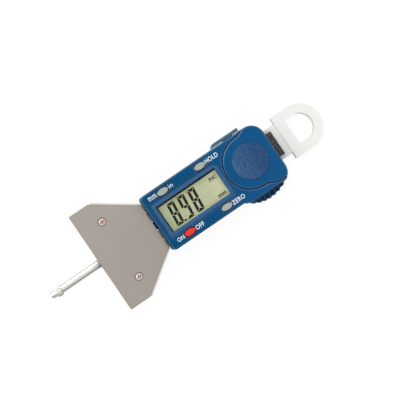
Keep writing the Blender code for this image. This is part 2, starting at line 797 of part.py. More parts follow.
def make_measuring_rod():
    """Round rod with a threaded spigot behind and a stud hole in front."""
    spigot_start = beam_front
    spigot_end = block_rear - SEAT_GAP
    hole = STUD_RADIUS + SEAT_GAP
    hole_end = rod_front + STUD_LENGTH + SEAT_GAP
    profile = [(0, spigot_end), (SPIGOT_RADIUS, spigot_end), (SPIGOT_RADIUS, spigot_start - SEAT_GAP),
               (ROD_RADIUS, spigot_start - SEAT_GAP), (ROD_RADIUS, rod_front), (hole, rod_front),
               (hole, hole_end), (0, hole_end)]
    return finish(turned("measuring_rod", profile, (0, 0, rod_height), (0, math.pi / 2, 0)), STEEL)


def make_contact_point():
    """Contact point with its stud, its gripping collar and its tapered, flat end."""
    collar_rear = rod_front - SEAT_GAP
    collar_front = rod_front - COLLAR_LENGTH
    stud_end = rod_front + STUD_LENGTH
    tip = -TIP_REACH
    profile = [(0, stud_end), (STUD_RADIUS, stud_end), (STUD_RADIUS, collar_rear),
               (COLLAR_RADIUS - COLLAR_EDGE, collar_rear), (COLLAR_RADIUS, collar_rear - COLLAR_EDGE),
               (COLLAR_RADIUS, collar_front + COLLAR_EDGE), (COLLAR_RADIUS - COLLAR_EDGE, collar_front),
               (CONE_RADIUS, collar_front), (TIP_RADIUS, tip + TIP_EDGE), (TIP_RADIUS - TIP_EDGE, tip),
               (0, tip)]
    return finish(turned("contact_point", profile, (0, 0, rod_height), (0, math.pi / 2, 0)), STEEL)


def make_rod_block():
    """Block that takes the rod's spigot and sits in the beam's fork."""
    half = BLOCK_WIDTH / 2
    block = bevel(box("rod_block", (beam_front, -half, rod_height - BLOCK_HALF_HEIGHT),
                      (block_rear, half, rod_height + BLOCK_HALF_HEIGHT)), BLOCK_EDGE)
    bore = cylinder("spigot_hole", SPIGOT_RADIUS + SEAT_GAP, (beam_front - OVERRUN, 0, rod_height),
                    BLOCK_LENGTH + 2 * OVERRUN, (0, math.pi / 2, 0))
    return finish(cut(block, bore, pin_holes("block_pin_holes")), STEEL)


def pin_holes(name):
    """Tool for the holes of the two cross pins, open at the beam's sides."""
    inner = beam_half - PIN_SIDE_INSET - PIN_LENGTH - SEAT_GAP
    length = beam_half + OVERRUN - inner
    drill = cylinder(f"{name}_drill", PIN_RADIUS + SEAT_GAP, (block_middle, length / 2, rod_height), length,
                     SIDE_ON)
    return copies(name, drill, [(0, inner + length / 2), (0, -inner - length / 2)])


def make_block_pins():
    """Two cross pins that hold the rod block in the beam's fork."""
    model = cylinder("pin_model", PIN_RADIUS, (block_middle, PIN_LENGTH / 2, rod_height), PIN_LENGTH, SIDE_ON)
    row = beam_half - PIN_SIDE_INSET - PIN_LENGTH / 2
    return repeated("block_pin", model, [(0, row), (0, -row)], STEEL)


def make_beam():
    """Flat beam with a fork for the rod block and holes for the ring's screws."""
    fork = BLOCK_WIDTH / 2 + SEAT_GAP
    fork_end = block_rear + SEAT_GAP
    rear = ring_front + RING_POCKET_DEPTH - SEAT_GAP
    corners = [(beam_front, beam_half, 0), (beam_front, fork, 0), (fork_end, fork, 0),
               (fork_end, -fork, 0), (beam_front, -fork, 0), (beam_front, -beam_half, 0),
               (rear, -beam_half, 0), (rear, beam_half, 0)]
    holes = [circle(x, y, RING_SCREW_RADIUS + SEAT_GAP) for x, y in ring_screws]
    beam = bevel(prism("beam", [filleted(corners), *holes], beam_low, beam_top), BEAM_EDGE)
    return finish(cut(beam, pin_holes("beam_pin_holes")), LIGHT_PLASTIC)


def make_scale_strip():
    """Dark strip with the scale's pattern, bonded to the beam."""
    half = SCALE_WIDTH / 2
    strip = box("scale_strip", (block_rear + SCALE_START, -half, scale_low),
                (housing_tail + SCALE_SHOWN, half, scale_top))
    return finish(strip, SCALE_BLACK)


def make_pull_ring():
    """D-shaped ring that takes the beam's end in a pocket."""
    half = RING_WIDTH / 2
    hole_half = half - RING_WALL
    low = rod_height - RING_THICKNESS / 2
    high = rod_height + RING_THICKNESS / 2
    bar_end = ring_front + RING_BAR
    outer = filleted([(ring_front, half, RING_CORNER), (ring_front, -half, RING_CORNER),
                      (ring_end, -half, half), (ring_end, half, half)])
    far = ring_middle + hole_half
    hole = filleted([(bar_end, hole_half, RING_HOLE_CORNER), (bar_end, -hole_half, RING_HOLE_CORNER),
                     (far, -hole_half, hole_half), (far, hole_half, hole_half)])
    ring = bevel(prism("pull_ring", [outer, hole], low, high), RING_EDGE, segments=2)
    pocket = box("ring_pocket", (ring_front - OVERRUN, -beam_half - SEAT_GAP, beam_low - SEAT_GAP),
                 (ring_front + RING_POCKET_DEPTH, beam_half + SEAT_GAP, beam_top + SEAT_GAP))
    drill = cylinder("ring_drill", RING_SCREW_RADIUS + SEAT_GAP, (0, 0, low - OVERRUN),
                     RING_SCREW_LENGTH + SEAT_GAP + OVERRUN)
    sink = cylinder("ring_sink", RING_SCREW_HEAD_RADIUS + SEAT_GAP, (0, 0, low - OVERRUN),
                    RING_SCREW_HEAD_HEIGHT + SEAT_GAP + OVERRUN)
    holes = copies("ring_holes", drill, ring_screws)
    sinks = copies("ring_sinks", sink, ring_screws)
    return finish(cut(ring, pocket, holes, sinks), LIGHT_PLASTIC)


def make_ring_screws():
    """Two small screws that hold the ring on the beam, from behind."""
    low = rod_height - RING_THICKNESS / 2
    model = screw_model("ring_screw_model", RING_SCREW_RADIUS, RING_SCREW_LENGTH, RING_SCREW_HEAD_RADIUS,
                        RING_SCREW_HEAD_HEIGHT, low, True)
    return repeated("ring_screw", model, ring_screws, STEEL)


def lug_flutes():
    """Upright grooves round the lug's side, shared by both shells."""
    width = FLUTE_PITCH * FLUTE_WIDTH_SHARE
    flute = box("flute", (-width / 2, -lug_outside - OVERRUN, -OVERRUN),
                (width / 2, -lug_line + FLUTE_DEPTH, front_top + OVERRUN))
    flutes = copies("flutes", flute, [(x, 0) for x in flute_places()])
    core = cylinder("lug_core", LUG_RADIUS - FLUTE_DEPTH, (lug_middle, lug_centre, -2 * OVERRUN),
                    front_top + 4 * OVERRUN, segments=2 * WIDE_SEGMENTS)
    return cut(flutes, core)


def flute_places():
    """Where the lug's grooves lie along it."""
    first = lug_middle - LUG_SET_BACK - FLUTE_PITCH * (FLUTE_COUNT - 1) / 2
    return [first + index * FLUTE_PITCH for index in range(FLUTE_COUNT)]


def make_rear_housing(flutes):
    """Back shell with the beam's channel, the tongue's seat and side pockets."""
    outline = filleted(housing_outline())
    shell = prism("rear_housing", [outline], 0, rear_top)
    bevel_rim(shell, -rear_top / 2, REAR_EDGE, 2)
    above = rear_top + OVERRUN
    channel = box("beam_channel", (tongue_end, -channel_half, beam_low - SEAT_GAP),
                  (housing_tail + OVERRUN, channel_half, above))
    stop = block_rear + in_travel + SLIDE_GAP
    groove_half = beam_half - RIDE_WIDTH
    groove = box("block_groove", (tongue_end - OVERRUN / 2, -groove_half, REAR_WALL),
                 (stop, groove_half, above))
    seat_half = TONGUE_WIDTH / 2 + SEAT_GAP
    seat = box("tongue_seat", (housing_front - OVERRUN, -seat_half, beam_low - SEAT_GAP),
               (tongue_end + SLIDE_GAP, seat_half, above))
    rod_half = bush_outside
    rod_path = box("rod_path", (housing_front - OVERRUN, -rod_half, REAR_WALL),
                   (tongue_end + OVERRUN, rod_half, above))
    pocket_inside = channel_half + GUIDE_WALL
    pocket_start = tongue_end + SLIDE_GAP + GUIDE_WALL
    pocket_end = board_tail - SEAT_GAP
    pockets = [
        box("left_pocket", (pocket_start, pocket_inside, REAR_WALL), (pocket_end, cavity_half, above)),
        box("right_pocket", (pocket_start, -cavity_half, REAR_WALL), (pocket_end, -pocket_inside, above)),
    ]
    gib_low = -channel_half - GIB_THICKNESS - SEAT_GAP
    gib_seat = box("gib_seat", (gib_start() - SEAT_GAP, gib_low, beam_low - SEAT_GAP),
                   (gib_start() + GIB_LENGTH + SEAT_GAP, -beam_half, above))
    drill = cylinder("housing_drill", HOUSING_SCREW_RADIUS + SEAT_GAP, (0, 0, -OVERRUN),
                     above + OVERRUN)
    sink_depth = HOUSING_SCREW_SINK + HOUSING_SCREW_HEAD_HEIGHT + SEAT_GAP
    sink = cylinder("housing_sink", HOUSING_SCREW_HEAD_RADIUS + SEAT_GAP, (0, 0, -OVERRUN),
                    sink_depth + OVERRUN)
    holes = copies("housing_holes", drill, housing_screws)
    sinks = copies("housing_sinks", sink, housing_screws)
    cut(shell, flutes, channel, groove, seat, rod_path, *pockets, gib_seat, holes, sinks)
    return finish(shell, BLUE_ABS)


def gib_start():
    """Where the gib strip begins along the beam's channel."""
    return housing_front + GIB_START


def make_gib_strip():
    """Thin leaf between the channel's wall and the beam."""
    outer = -channel_half - GIB_THICKNESS
    strip = box("gib_strip", (gib_start(), outer, beam_low + GIB_EDGE_INSET),
                (gib_start() + GIB_LENGTH, outer + GIB_THICKNESS, beam_top - GIB_EDGE_INSET))
    return finish(strip, BRONZE)


def make_housing_screws():
    """Four screws that hold the shells together, from behind."""
    model = screw_model("housing_screw_model", HOUSING_SCREW_RADIUS, HOUSING_SCREW_LENGTH,
                        HOUSING_SCREW_HEAD_RADIUS, HOUSING_SCREW_HEAD_HEIGHT, HOUSING_SCREW_SINK, True)
    return repeated("housing_screw", model, housing_screws, STEEL)


def lug_slope():
    """Angle of the lug's sloping flank, and its upper edge as y and z."""
    drop = front_top - LUG_EDGE_HEIGHT
    run = lug_outside - lug_line
    return math.atan2(drop, run), -lug_line, front_top


def lug_wedge():
    """Tool above the lug's sloping flank."""
    angle, y, z = lug_slope()
    reach = lug_outside - lug_line + OVERRUN
    high = (y + OVERRUN, z + OVERRUN * math.tan(angle))
    low = (y - reach, z - reach * math.tan(angle))
    profile = [high, (low[0], high[1]), low]
    return prism("lug_wedge", [profile], lug_middle - LUG_RADIUS, housing_tail + OVERRUN, END_ON)


def flank_grooves():
    """Grooves down the lug's sloping flank."""
    angle, y, z = lug_slope()
    width = FLUTE_PITCH * FLUTE_WIDTH_SHARE
    length = (lug_outside - lug_line + OVERRUN) / math.cos(angle)
    size = Matrix.Diagonal((width, length, 2 * FLANK_GROOVE_DEPTH, 1))
    mesh = mesh_from("flank_groove", lambda work: bmesh.ops.create_cube(work, size=1, matrix=size))
    down = Vector((0, -math.cos(angle), -math.sin(angle)))
    centre = Vector((0, y, z)) + down * (length / 2 + FLANK_GROOVE_DEPTH)
    groove = new_object("flank_groove", mesh, centre, (angle, 0, 0))
    return copies("flank_grooves", groove, [(x, 0) for x in flute_places()])


def oval(length, width, gap=0):
    """Points of an ellipse, grown by a gap."""
    return [(x * (length / 2 + gap), y * (width / 2 + gap)) for x, y in circle(0, 0, 1, ROUND_SEGMENTS)]


def display_tools():
    """The bezel's recess and the opening below it."""
    corners = bezel_corners()
    recess = prism("bezel_recess", [filleted(grown(corners, BEZEL_FIT))], bezel_low - SEAT_GAP,
                   front_top + OVERRUN)
    opening = prism("display_opening", [filleted(grown(corners, -BEZEL_LEDGE))], front_inside - OVERRUN / 2,
                    front_top + OVERRUN)
    return recess, opening


def bezel_corners():
    """Corners of the bezel."""
    left, right = bezel_middle - bezel_length / 2, bezel_end
    half = bezel_width / 2
    return [(left, half, BEZEL_CORNER_FRONT), (left, -half, BEZEL_CORNER_FRONT),
            (right, -half, BEZEL_CORNER_TAIL), (right, half, BEZEL_CORNER_TAIL)]


def make_front_housing(flutes):
    """Front shell: display opening, button holes, battery well and deck, port and bosses."""
    shell = prism("front_housing", [filleted(housing_outline())], front_low, front_top)
    bevel_rim(shell, (front_top - front_low) / 2, FRONT_EDGE, 3)
    cut(shell, lug_wedge(), flank_grooves(), flutes)
    hollow_front(shell)
    join(shell, *front_bosses())
    make_battery_bay(shell)
    cut(shell, *display_tools())
    hole = prism("button_hole", [oval(BUTTON_LENGTH, BUTTON_WIDTH, SLIDE_GAP)],
                 front_inside - OVERRUN / 2, front_top + OVERRUN)
    cut(shell, copies("button_holes", hole, buttons.values()))
    cut(shell, *port_tools())
    pilot_end = HOUSING_SCREW_SINK + HOUSING_SCREW_LENGTH + SEAT_GAP
    pilot = cylinder("housing_pilot", HOUSING_SCREW_RADIUS + SEAT_GAP, (0, 0, front_low - OVERRUN),
                     pilot_end - front_low + OVERRUN)
    cut(shell, copies("housing_pilots", pilot, housing_screws))
    return finish(shell, BLUE_ABS)


def hollow_front(shell):
    """Room for the display and the board, and the ways out for the rod and the beam."""
    below = front_low - OVERRUN
    bay_start = board_screw_tail + BOARD_BOSS_RADIUS / 2
    display_room = box("display_room", (cavity_front, -cavity_half, below),
                       (bay_start, cavity_half, front_inside))
    bay_room = box("bay_room", (bay_start - OVERRUN, -cavity_half, below),
                   (board_tail + SEAT_GAP, cavity_half, deck_low))
    rod_top = rod_height + ROD_RADIUS + SLIDE_GAP
    rod_way = box("rod_way", (housing_front - OVERRUN, -bush_outside, below),
                  (cavity_front + OVERRUN, bush_outside, rod_top))
    beam_way = box("beam_way", (board_tail - OVERRUN, -channel_half, below),
                   (housing_tail + OVERRUN, channel_half, scale_top + SLIDE_GAP))
    cut(shell, display_room, bay_room, rod_way, beam_way)


def front_bosses():
    """Bosses for the two front housing screws and for the board's screws."""
    low = front_low + SEAT_GAP
    boss = box("front_boss", (cavity_front - END_WALL / 2, -FRONT_BOSS_WIDTH / 2, low),
               (cavity_front + FRONT_BOSS_REACH, FRONT_BOSS_WIDTH / 2, glass_low - SLIDE_GAP))
    places = [(0, y) for x, y in housing_screws[:2]]
    post = cylinder("board_boss", BOARD_BOSS_RADIUS, (0, 0, on_board), front_inside - on_board + OVERRUN / 2)
    pilot = cylinder("board_pilot", BOARD_SCREW_RADIUS + SEAT_GAP, (0, 0, on_board - OVERRUN),
                     BOARD_SCREW_LENGTH + OVERRUN, segments=SMALL_SEGMENTS)
    posts = copies("board_bosses", post, board_screws)
    return copies("front_bosses", boss, places), cut(posts, copies("board_pilots", pilot, board_screws))


def make_battery_bay(shell):
    """Battery well hanging from a deck, and the space of the cover above the deck."""
    well = cylinder("well", well_outside, (cell_middle, 0, board_top + WELL_STAND),
                    deck_low - board_top, segments=WIDE_SEGMENTS)
    bore = cylinder("well_bore", CELL_RADIUS + CELL_GAP, (cell_middle, 0, board_top), front_top,
                    segments=WIDE_SEGMENTS)
    region = prism("cover_region", [filleted(cover_outline())], deck_top, front_top + OVERRUN)
    notch = box("cover_notch", (cover_end_inside - SLIDE_GAP, -lug_outside, cover_end_low - SLIDE_GAP),
                (housing_tail + OVERRUN, housing_half + OVERRUN, front_top + OVERRUN))
    slot_start = leg_start() - SLIDE_GAP
    foot_out = leg_outside + COVER_FOOT_REACH + SLIDE_GAP
    slots = []
    for side in (-1, 1):
        low, high = sorted((side * (leg_inside - SLIDE_GAP), side * ledge_inside))
        slots.append(box(f"leg_slot_{side}", (slot_start, low, deck_low - OVERRUN / 2),
                         (housing_tail, high, deck_top + OVERRUN / 2)))
        low, high = sorted((side * (leg_inside - SLIDE_GAP), side * foot_out))
        slots.append(box(f"foot_way_{side}", (board_tail, low, foot_low - SLIDE_GAP),
                         (housing_tail, high, deck_low + SLIDE_GAP)))
    way_half = CONTACT_WIDTH / 2 + SEAT_GAP
    contact_way = box("contact_way", (cell_middle - well_outside - OVERRUN / 2, -way_half, board_top),
                      (cell_middle - CELL_RADIUS, way_half, deck_low + DECK_THICKNESS / 2))
    join(shell, well)
    cut(shell, bore)
    # the region's rounded edge nearly touches the rim's facets, where the exact solver leaves holes
    boolean(shell, region, "DIFFERENCE", "MANIFOLD")
    cut(shell, notch, *slots, contact_way)


def leg_start():
    """Where the battery cover's legs begin."""
    return cell_middle - COVER_LEG_LEAD


def make_battery_cover():
    """Cover that slides off towards the tail, with hooked legs and a thick end."""
    blank = prism("battery_cover", [filleted(housing_outline())], cover_end_low, front_top)
    bevel_rim(blank, (front_top - cover_end_low) / 2, FRONT_EDGE, 3)
    under = box("cover_under", (housing_front - OVERRUN, -lug_outside - OVERRUN, cover_end_low - OVERRUN),
                (cover_end_inside, housing_half + OVERRUN, cover_low))
    region = prism("cover_shape", [filleted(grown(cover_outline(), -PARTING_GAP))], cover_end_low - OVERRUN,
                   front_top + OVERRUN)
    cut(blank, under)
    boolean(blank, region, "INTERSECT", "MANIFOLD")
    leg_end = leg_start() + COVER_LEG_LENGTH
    for side in (-1, 1):
        low, high = sorted((side * leg_inside, side * leg_outside))
        leg = box(f"cover_leg_{side}", (leg_start(), low, foot_low),
                  (leg_end, high, cover_low + COVER_THICKNESS / 2))
        low, high = sorted((side * (leg_inside + COVER_LEG / 2), side * (leg_outside + COVER_FOOT_REACH)))
        foot = box(f"cover_foot_{side}", (leg_start(), low, foot_low), (leg_end, high, foot_top))
        join(blank, leg, foot)
    return finish(blank, BLUE_ABS)


def port_tools():
    """The data port's window and the slot that the cover's web runs in."""
    wall_in, wall_out = cavity_half - OVERRUN / 2, housing_half + OVERRUN
    window_low = port_height_middle - PORT_HEIGHT / 2
    window = box("port_window", (port_middle - PORT_LENGTH / 2, wall_in, window_low),
                 (port_middle + PORT_LENGTH / 2, wall_out, window_low + PORT_HEIGHT))
    start, end = port_foot()
    half = PORT_WEB_HEIGHT / 2 + SLIDE_GAP
    slot = box("port_slot", (start - PORT_TRAVEL - SLIDE_GAP, wall_in, port_height_middle - half),
               (end + SLIDE_GAP, wall_out, port_height_middle + half))
    return window, slot


def port_foot():
    """First and last place of the port cover's inner foot."""
    end = port_middle + PORT_LENGTH / 2 - 2 * SLIDE_GAP
    return end - PORT_FOOT_LENGTH, end


def make_port_cover():
    """Ribbed cover over the data port, with a web and a foot behind the wall."""
    inner = housing_half + SEAT_GAP
    outer = inner + PORT_COVER_PROUD
    low_x = port_middle - PORT_COVER_LENGTH / 2
    high_x = port_middle + PORT_COVER_LENGTH / 2
    valley = outer - PORT_RIB_DEPTH
    teeth = int((PORT_COVER_LENGTH - PORT_COVER_LEAD) / PORT_RIB_PITCH)
    edge = [(low_x, inner), (high_x, inner), (high_x, outer)]
    for tooth in range(teeth):
        tooth_end = high_x - tooth * PORT_RIB_PITCH - PORT_RIB_PITCH * PORT_RIB_SHARE
        next_tooth = high_x - (tooth + 1) * PORT_RIB_PITCH
        edge += [(tooth_end, outer), (tooth_end, valley), (next_tooth, valley), (next_tooth, outer)]
    low = port_height_middle - PORT_COVER_HEIGHT / 2
    cover = prism("port_cover", [edge[:-1]], low, low + PORT_COVER_HEIGHT)
    start, end = port_foot()
    foot_outer = cavity_half - SLIDE_GAP
    web_low = port_height_middle - PORT_WEB_HEIGHT / 2
    web = box("port_web", (start, foot_outer - PORT_FOOT_THICKNESS / 2, web_low),
              (end, inner + PORT_RIB_DEPTH, web_low + PORT_WEB_HEIGHT))
    foot_low_edge = port_height_middle - PORT_FOOT_HEIGHT / 2
    foot = box("port_foot", (start, foot_outer - PORT_FOOT_THICKNESS, foot_low_edge),
               (end, foot_outer, foot_low_edge + PORT_FOOT_HEIGHT))
    return finish(join(cover, web, foot), BLUE_ABS)


def make_display_bezel():
    """Frame round the display."""
    window = filleted(rectangle(bezel_middle - WINDOW_LENGTH / 2, bezel_middle + WINDOW_LENGTH / 2,
                                -WINDOW_HEIGHT / 2, WINDOW_HEIGHT / 2, WINDOW_CORNER))
    bezel = prism("display_bezel", [filleted(bezel_corners()), window], bezel_low, bezel_top)
    bevel_rim(bezel, BEZEL_THICKNESS / 2, BEZEL_EDGE, 2)
    return finish(bezel, BEZEL_BLUE)


def display_slab(name, margin, corner, low, high, look):
    """Flat plate centred on the display's window and larger than it by a margin."""
    half_length, half = WINDOW_LENGTH / 2 + margin, WINDOW_HEIGHT / 2 + margin
    corners = rectangle(bezel_middle - half_length, bezel_middle + half_length, -half, half, corner)
    return finish(prism(name, [filleted(corners)], low, high), look)


def make_lcd_holder():
    """Frame that carries the glass over the board."""
    start, end = bezel_middle - WINDOW_LENGTH / 2, bezel_middle + WINDOW_LENGTH / 2
    half = WINDOW_HEIGHT / 2 - ZEBRA_WIDTH - 2 * SEAT_GAP
    corners = rectangle(start, end, -half, half)
    outer, inner = filleted(corners), filleted(grown(corners, -HOLDER_WALL))
    return finish(prism("lcd_holder", [outer, inner], on_board, zebra_top), WHITE_PLASTIC)


def make_zebra_strips():
    """Two rubber connectors between the board and the glass."""
    strip = box("strip_model", (bezel_middle - ZEBRA_LENGTH / 2, -ZEBRA_WIDTH / 2, on_board),
                (bezel_middle + ZEBRA_LENGTH / 2, ZEBRA_WIDTH / 2, zebra_top))
    row = WINDOW_HEIGHT / 2 - ZEBRA_WIDTH / 2
    return repeated("zebra_strip", strip, [(0, row), (0, -row)], ZEBRA_RUBBER)


def make_main_board():
    """Circuit board with holes for its screws."""
    corners = [(board_front, board_half, 0), (board_front, -board_half, 0),
               (board_tail, -board_half, BOARD_CORNER), (board_tail, board_half, BOARD_CORNER)]
    holes = [circle(x, y, BOARD_SCREW_RADIUS + SEAT_GAP) for x, y in board_screws]
    return finish(prism("main_board", [filleted(corners), *holes], board_low, board_top), BOARD_GREEN)


def make_controller_chip():
    """Low drop of resin over the chip."""
    turns = [math.pi / 2 * step / SMALL_SEGMENTS for step in range(SMALL_SEGMENTS + 1)]
    profile = [(CHIP_RADIUS * math.sin(turn), CHIP_HEIGHT * math.cos(turn)) for turn in turns] + [(0, 0)]
    chip = turned("controller_chip", profile, (bezel_middle - WINDOW_LENGTH / 4, 0, on_board))
    return finish(chip, RESIN_BLACK)


def make_board_capacitors():
    """Row of small capacitors on the board."""
    model = box("capacitor_model", (-CAPACITOR_WIDTH / 2, -CAPACITOR_LENGTH / 2, on_board),
                (CAPACITOR_WIDTH / 2, CAPACITOR_LENGTH / 2, on_board + CAPACITOR_HEIGHT))
    first = bezel_middle + CAPACITOR_PITCH / 2
    places = [(first + index * CAPACITOR_PITCH, CAPACITOR_LENGTH) for index in range(CAPACITOR_COUNT)]
    return repeated("board_capacitor", model, places, WHITE_PLASTIC)


def make_watch_crystal():
    """Small can of the clock crystal, lying on the board."""
    crystal = cylinder("watch_crystal", CRYSTAL_RADIUS,
                       (bezel_middle + CAPACITOR_PITCH, -CAPACITOR_LENGTH, on_board + CRYSTAL_RADIUS),
                       CRYSTAL_LENGTH, (0, math.pi / 2, 0))
    return finish(crystal, STEEL)


def make_snap_domes():
    """Four metal domes on the board below the buttons."""
    shoulder = (DOME_RADIUS / 2, DOME_HEIGHT * DOME_SHOULDER_SHARE)
    profile = [(0, DOME_HEIGHT), shoulder, (DOME_RADIUS, 0), (0, 0)]
    model = turned("dome_model", profile, (0, 0, on_board), segments=FINE_SEGMENTS)
    return repeated("snap_dome", model, buttons.values(), STEEL)


def make_board_screws():
    """Four small screws that hold the board in the front shell, from below."""
    low = board_low - SEAT_GAP - BOARD_SCREW_HEAD_HEIGHT
    model = screw_model("board_screw_model", BOARD_SCREW_RADIUS, BOARD_SCREW_LENGTH, BOARD_SCREW_HEAD_RADIUS,
                        BOARD_SCREW_HEAD_HEIGHT, low, True)
    return repeated("board_screw", model, board_screws, STEEL)


def make_port_contacts():
    """Gilt pads of the data port at the board's edge."""
    model = box("pad_model", (-PAD_WIDTH / 2, board_half - PAD_LENGTH, on_board),
                (PAD_WIDTH / 2, board_half, on_board + PAD_THICKNESS))
    first = port_middle - PAD_PITCH * (PAD_COUNT - 1) / 2
    places = [(first + index * PAD_PITCH, 0) for index in range(PAD_COUNT)]
    return repeated("port_contact", model, places, GOLD)


def make_battery():
    """Coin cell with its cap facing down."""
    shoulder = cell_low + CELL_CAP_HEIGHT
    profile = [(0, cell_top), (CELL_RADIUS - CELL_EDGE, cell_top), (CELL_RADIUS, cell_top - CELL_EDGE),
               (CELL_RADIUS, shoulder + CELL_EDGE), (CELL_RADIUS - CELL_EDGE, shoulder),
               (CELL_CAP_RADIUS, shoulder), (CELL_CAP_RADIUS, cell_low), (0, cell_low)]
    return finish(turned("battery", profile, (cell_middle, 0, 0), segments=WIDE_SEGMENTS), STEEL)


def make_negative_contact():
    """Leaf spring under the cell: a foot on the board and a blade that rises to the cap."""
    foot_end = cell_middle - SPRING_REACH / 2 + SPRING_FOOT
    start = cell_middle - SPRING_REACH / 2
    end = cell_middle + SPRING_REACH / 2
    sheet = CONTACT_SHEET
    top = cell_low - SEAT_GAP
    profile = [(start, on_board), (foot_end, on_board), (end, top - sheet), (end, top),
               (foot_end - sheet, on_board + sheet), (start, on_board + sheet)]
    half = CONTACT_WIDTH / 2
    return finish(prism("battery_contact_negative", [profile], -half, half, SIDE_ON), BRONZE)


def make_positive_contact():
    """Upright clip that touches the rim of the cell, with a foot on the board."""
    right = cell_middle - CELL_RADIUS - SEAT_GAP
    left = right - CONTACT_SHEET
    start = left - CONTACT_FOOT
    sheet = CONTACT_SHEET
    top = deck_low - SEAT_GAP
    profile = [(start, on_board), (right, on_board), (right, top), (left, top), (left, on_board + sheet),
               (start, on_board + sheet)]
    half = CONTACT_WIDTH / 2
    return finish(prism("battery_contact_positive", [profile], -half, half, SIDE_ON), BRONZE)


def make_button(name, place, look):
    """Oval button with ears that hold it below the front wall, and a stem over its dome."""
    x, y = place
    ear_top = front_inside - SLIDE_GAP
    ear_low = ear_top - BUTTON_EAR_HEIGHT
    outline = oval(BUTTON_LENGTH, BUTTON_WIDTH)
    top = front_top + BUTTON_PROUD
    button = prism(name, [outline], ear_low, top)
    bevel_rim(button, (top - ear_low) / 2, BUTTON_EDGE, 2)
    ears = box(f"{name}_ears", (-BUTTON_LENGTH / 2 - BUTTON_EAR, -STEM_WIDTH / 2, ear_low + WELD),
               (BUTTON_LENGTH / 2 + BUTTON_EAR, STEM_WIDTH / 2, ear_top))
    stem = box(f"{name}_stem", (-STEM_LENGTH / 2, -STEM_WIDTH / 2, dome_top + BUTTON_TRAVEL + SLIDE_GAP),
               (STEM_LENGTH / 2, STEM_WIDTH / 2, ear_top - BUTTON_EAR_HEIGHT / 2))
    for tool in (button, ears, stem):
        tool.location += Vector((x, y, 0))
    return finish(join(button, ears, stem), look)


def make_empty(name, location):
    """Named frame that carries pieces."""
    frame = bpy.data.objects.new(name, None)
    frame.location = location
    PARTS.objects.link(frame)
    return frame


def carry(frame, pieces):
    """Parent pieces to a frame without moving them."""
    bpy.context.view_layer.update()
    for piece in pieces:
        piece.parent = frame
        piece.matrix_parent_inverse = frame.matrix_world.inverted()


def main():
    """Build every piece and put the whole gauge in its frame."""
    flutes = lug_flutes()
    slider = [make_measuring_rod(), make_contact_point(), make_rod_block(), *make_block_pins(), make_beam(),
              make_scale_strip(), make_pull_ring(), *make_ring_screws()]
    base = [make_base_body(), make_base_front_plate(), *make_base_screws(), make_rod_bush()]
    shells = [make_rear_housing(flutes), make_front_housing(flutes), *make_housing_screws(), make_gib_strip()]
    display = [
        make_display_bezel(),
        display_slab("display_lens", LENS_MARGIN, LENS_CORNER, lens_low, lens_top, CLEAR_ACRYLIC),
        display_slab("lcd_glass", GLASS_MARGIN, 0, glass_low, glass_top, LCD_SAGE),
        make_lcd_holder(),
        *make_zebra_strips(),
    ]
    board = [make_main_board(), make_controller_chip(), *make_board_capacitors(), make_watch_crystal(),
             *make_snap_domes(), *make_board_screws(), *make_port_contacts()]
    power = [make_battery(), make_negative_contact(), make_positive_contact()]
    covers = [make_battery_cover(), make_port_cover()]
    keys = [make_button(name, place, RED_RUBBER if name == "button_power" else GREY_RUBBER)
            for name, place in buttons.items()]
    frame = make_empty("gauge_frame", (0, 0, 0))
    slider_axis = make_empty("slider_axis", (0, 0, rod_height))
    carry(slider_axis, slider)
    tools = list(CUTTERS.objects)
    carry(frame, [slider_axis, *base, *shells, *display, *board, *power, *covers, *keys, *tools])
    frame.location.x = -(ring_end - TIP_REACH) / 2


main()
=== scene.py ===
"""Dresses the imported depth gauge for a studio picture.

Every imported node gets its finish. What the solids don't show is added: the printed words, the reading, the
heads of the plate screws, the knurl of the contact point and the grip of the battery cover.
"""

import logging
import math
from dataclasses import dataclass
from enum import Enum
from typing import Sequence

import bpy
from mathutils import Matrix, Vector, noise


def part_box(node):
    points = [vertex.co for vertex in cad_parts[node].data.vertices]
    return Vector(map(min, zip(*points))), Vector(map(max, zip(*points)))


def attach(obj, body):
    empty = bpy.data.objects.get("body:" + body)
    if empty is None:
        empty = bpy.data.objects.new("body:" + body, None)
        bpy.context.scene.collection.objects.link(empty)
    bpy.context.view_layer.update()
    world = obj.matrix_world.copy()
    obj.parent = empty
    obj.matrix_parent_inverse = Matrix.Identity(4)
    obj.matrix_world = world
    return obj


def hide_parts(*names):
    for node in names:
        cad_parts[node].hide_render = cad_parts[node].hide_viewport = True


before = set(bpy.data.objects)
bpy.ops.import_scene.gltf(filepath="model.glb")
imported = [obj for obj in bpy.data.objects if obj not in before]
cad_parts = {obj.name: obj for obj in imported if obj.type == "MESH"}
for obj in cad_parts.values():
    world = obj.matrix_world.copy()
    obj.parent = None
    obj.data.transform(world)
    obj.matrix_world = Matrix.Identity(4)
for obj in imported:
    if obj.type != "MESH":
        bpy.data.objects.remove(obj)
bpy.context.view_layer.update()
MM = 0.001
# The measuring face: places along the gauge are counted from it.
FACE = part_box("base_body")[0].x
LOG = logging.getLogger("depth_gauge")

Tree = bpy.types.NodeTree
Socket = bpy.types.NodeSocket
Point = tuple[float, float]
Loop = list[Point]

# The Mix node's inputs by number, and its mixed colour among the outputs.
FACTOR, VALUE_A, VALUE_B, COLOUR_A, COLOUR_B = 0, 2, 3, 6, 7
MIXED_COLOUR = 2
# Nearly all values of a noise texture lie between these two.
NOISE_LOW, NOISE_HIGH = 0.3, 0.7
# How much of the sky a point sees where the painted shade in grooves and corners is darkest, and where it
# ends.
SHUT, OPEN = 0.35, 0.9
# How far a face is turned away, from 0 to 1, in the middle of a rim's sheen; at twice that it has ended.
SHEEN_MIDDLE = 0.25
# The sheen is full from this far inside both of its ends.
SHEEN_FULL = 0.1
# A clear sheet's mirror grows with this power of how far a face is turned away.
MIRROR_POWER = 5.0
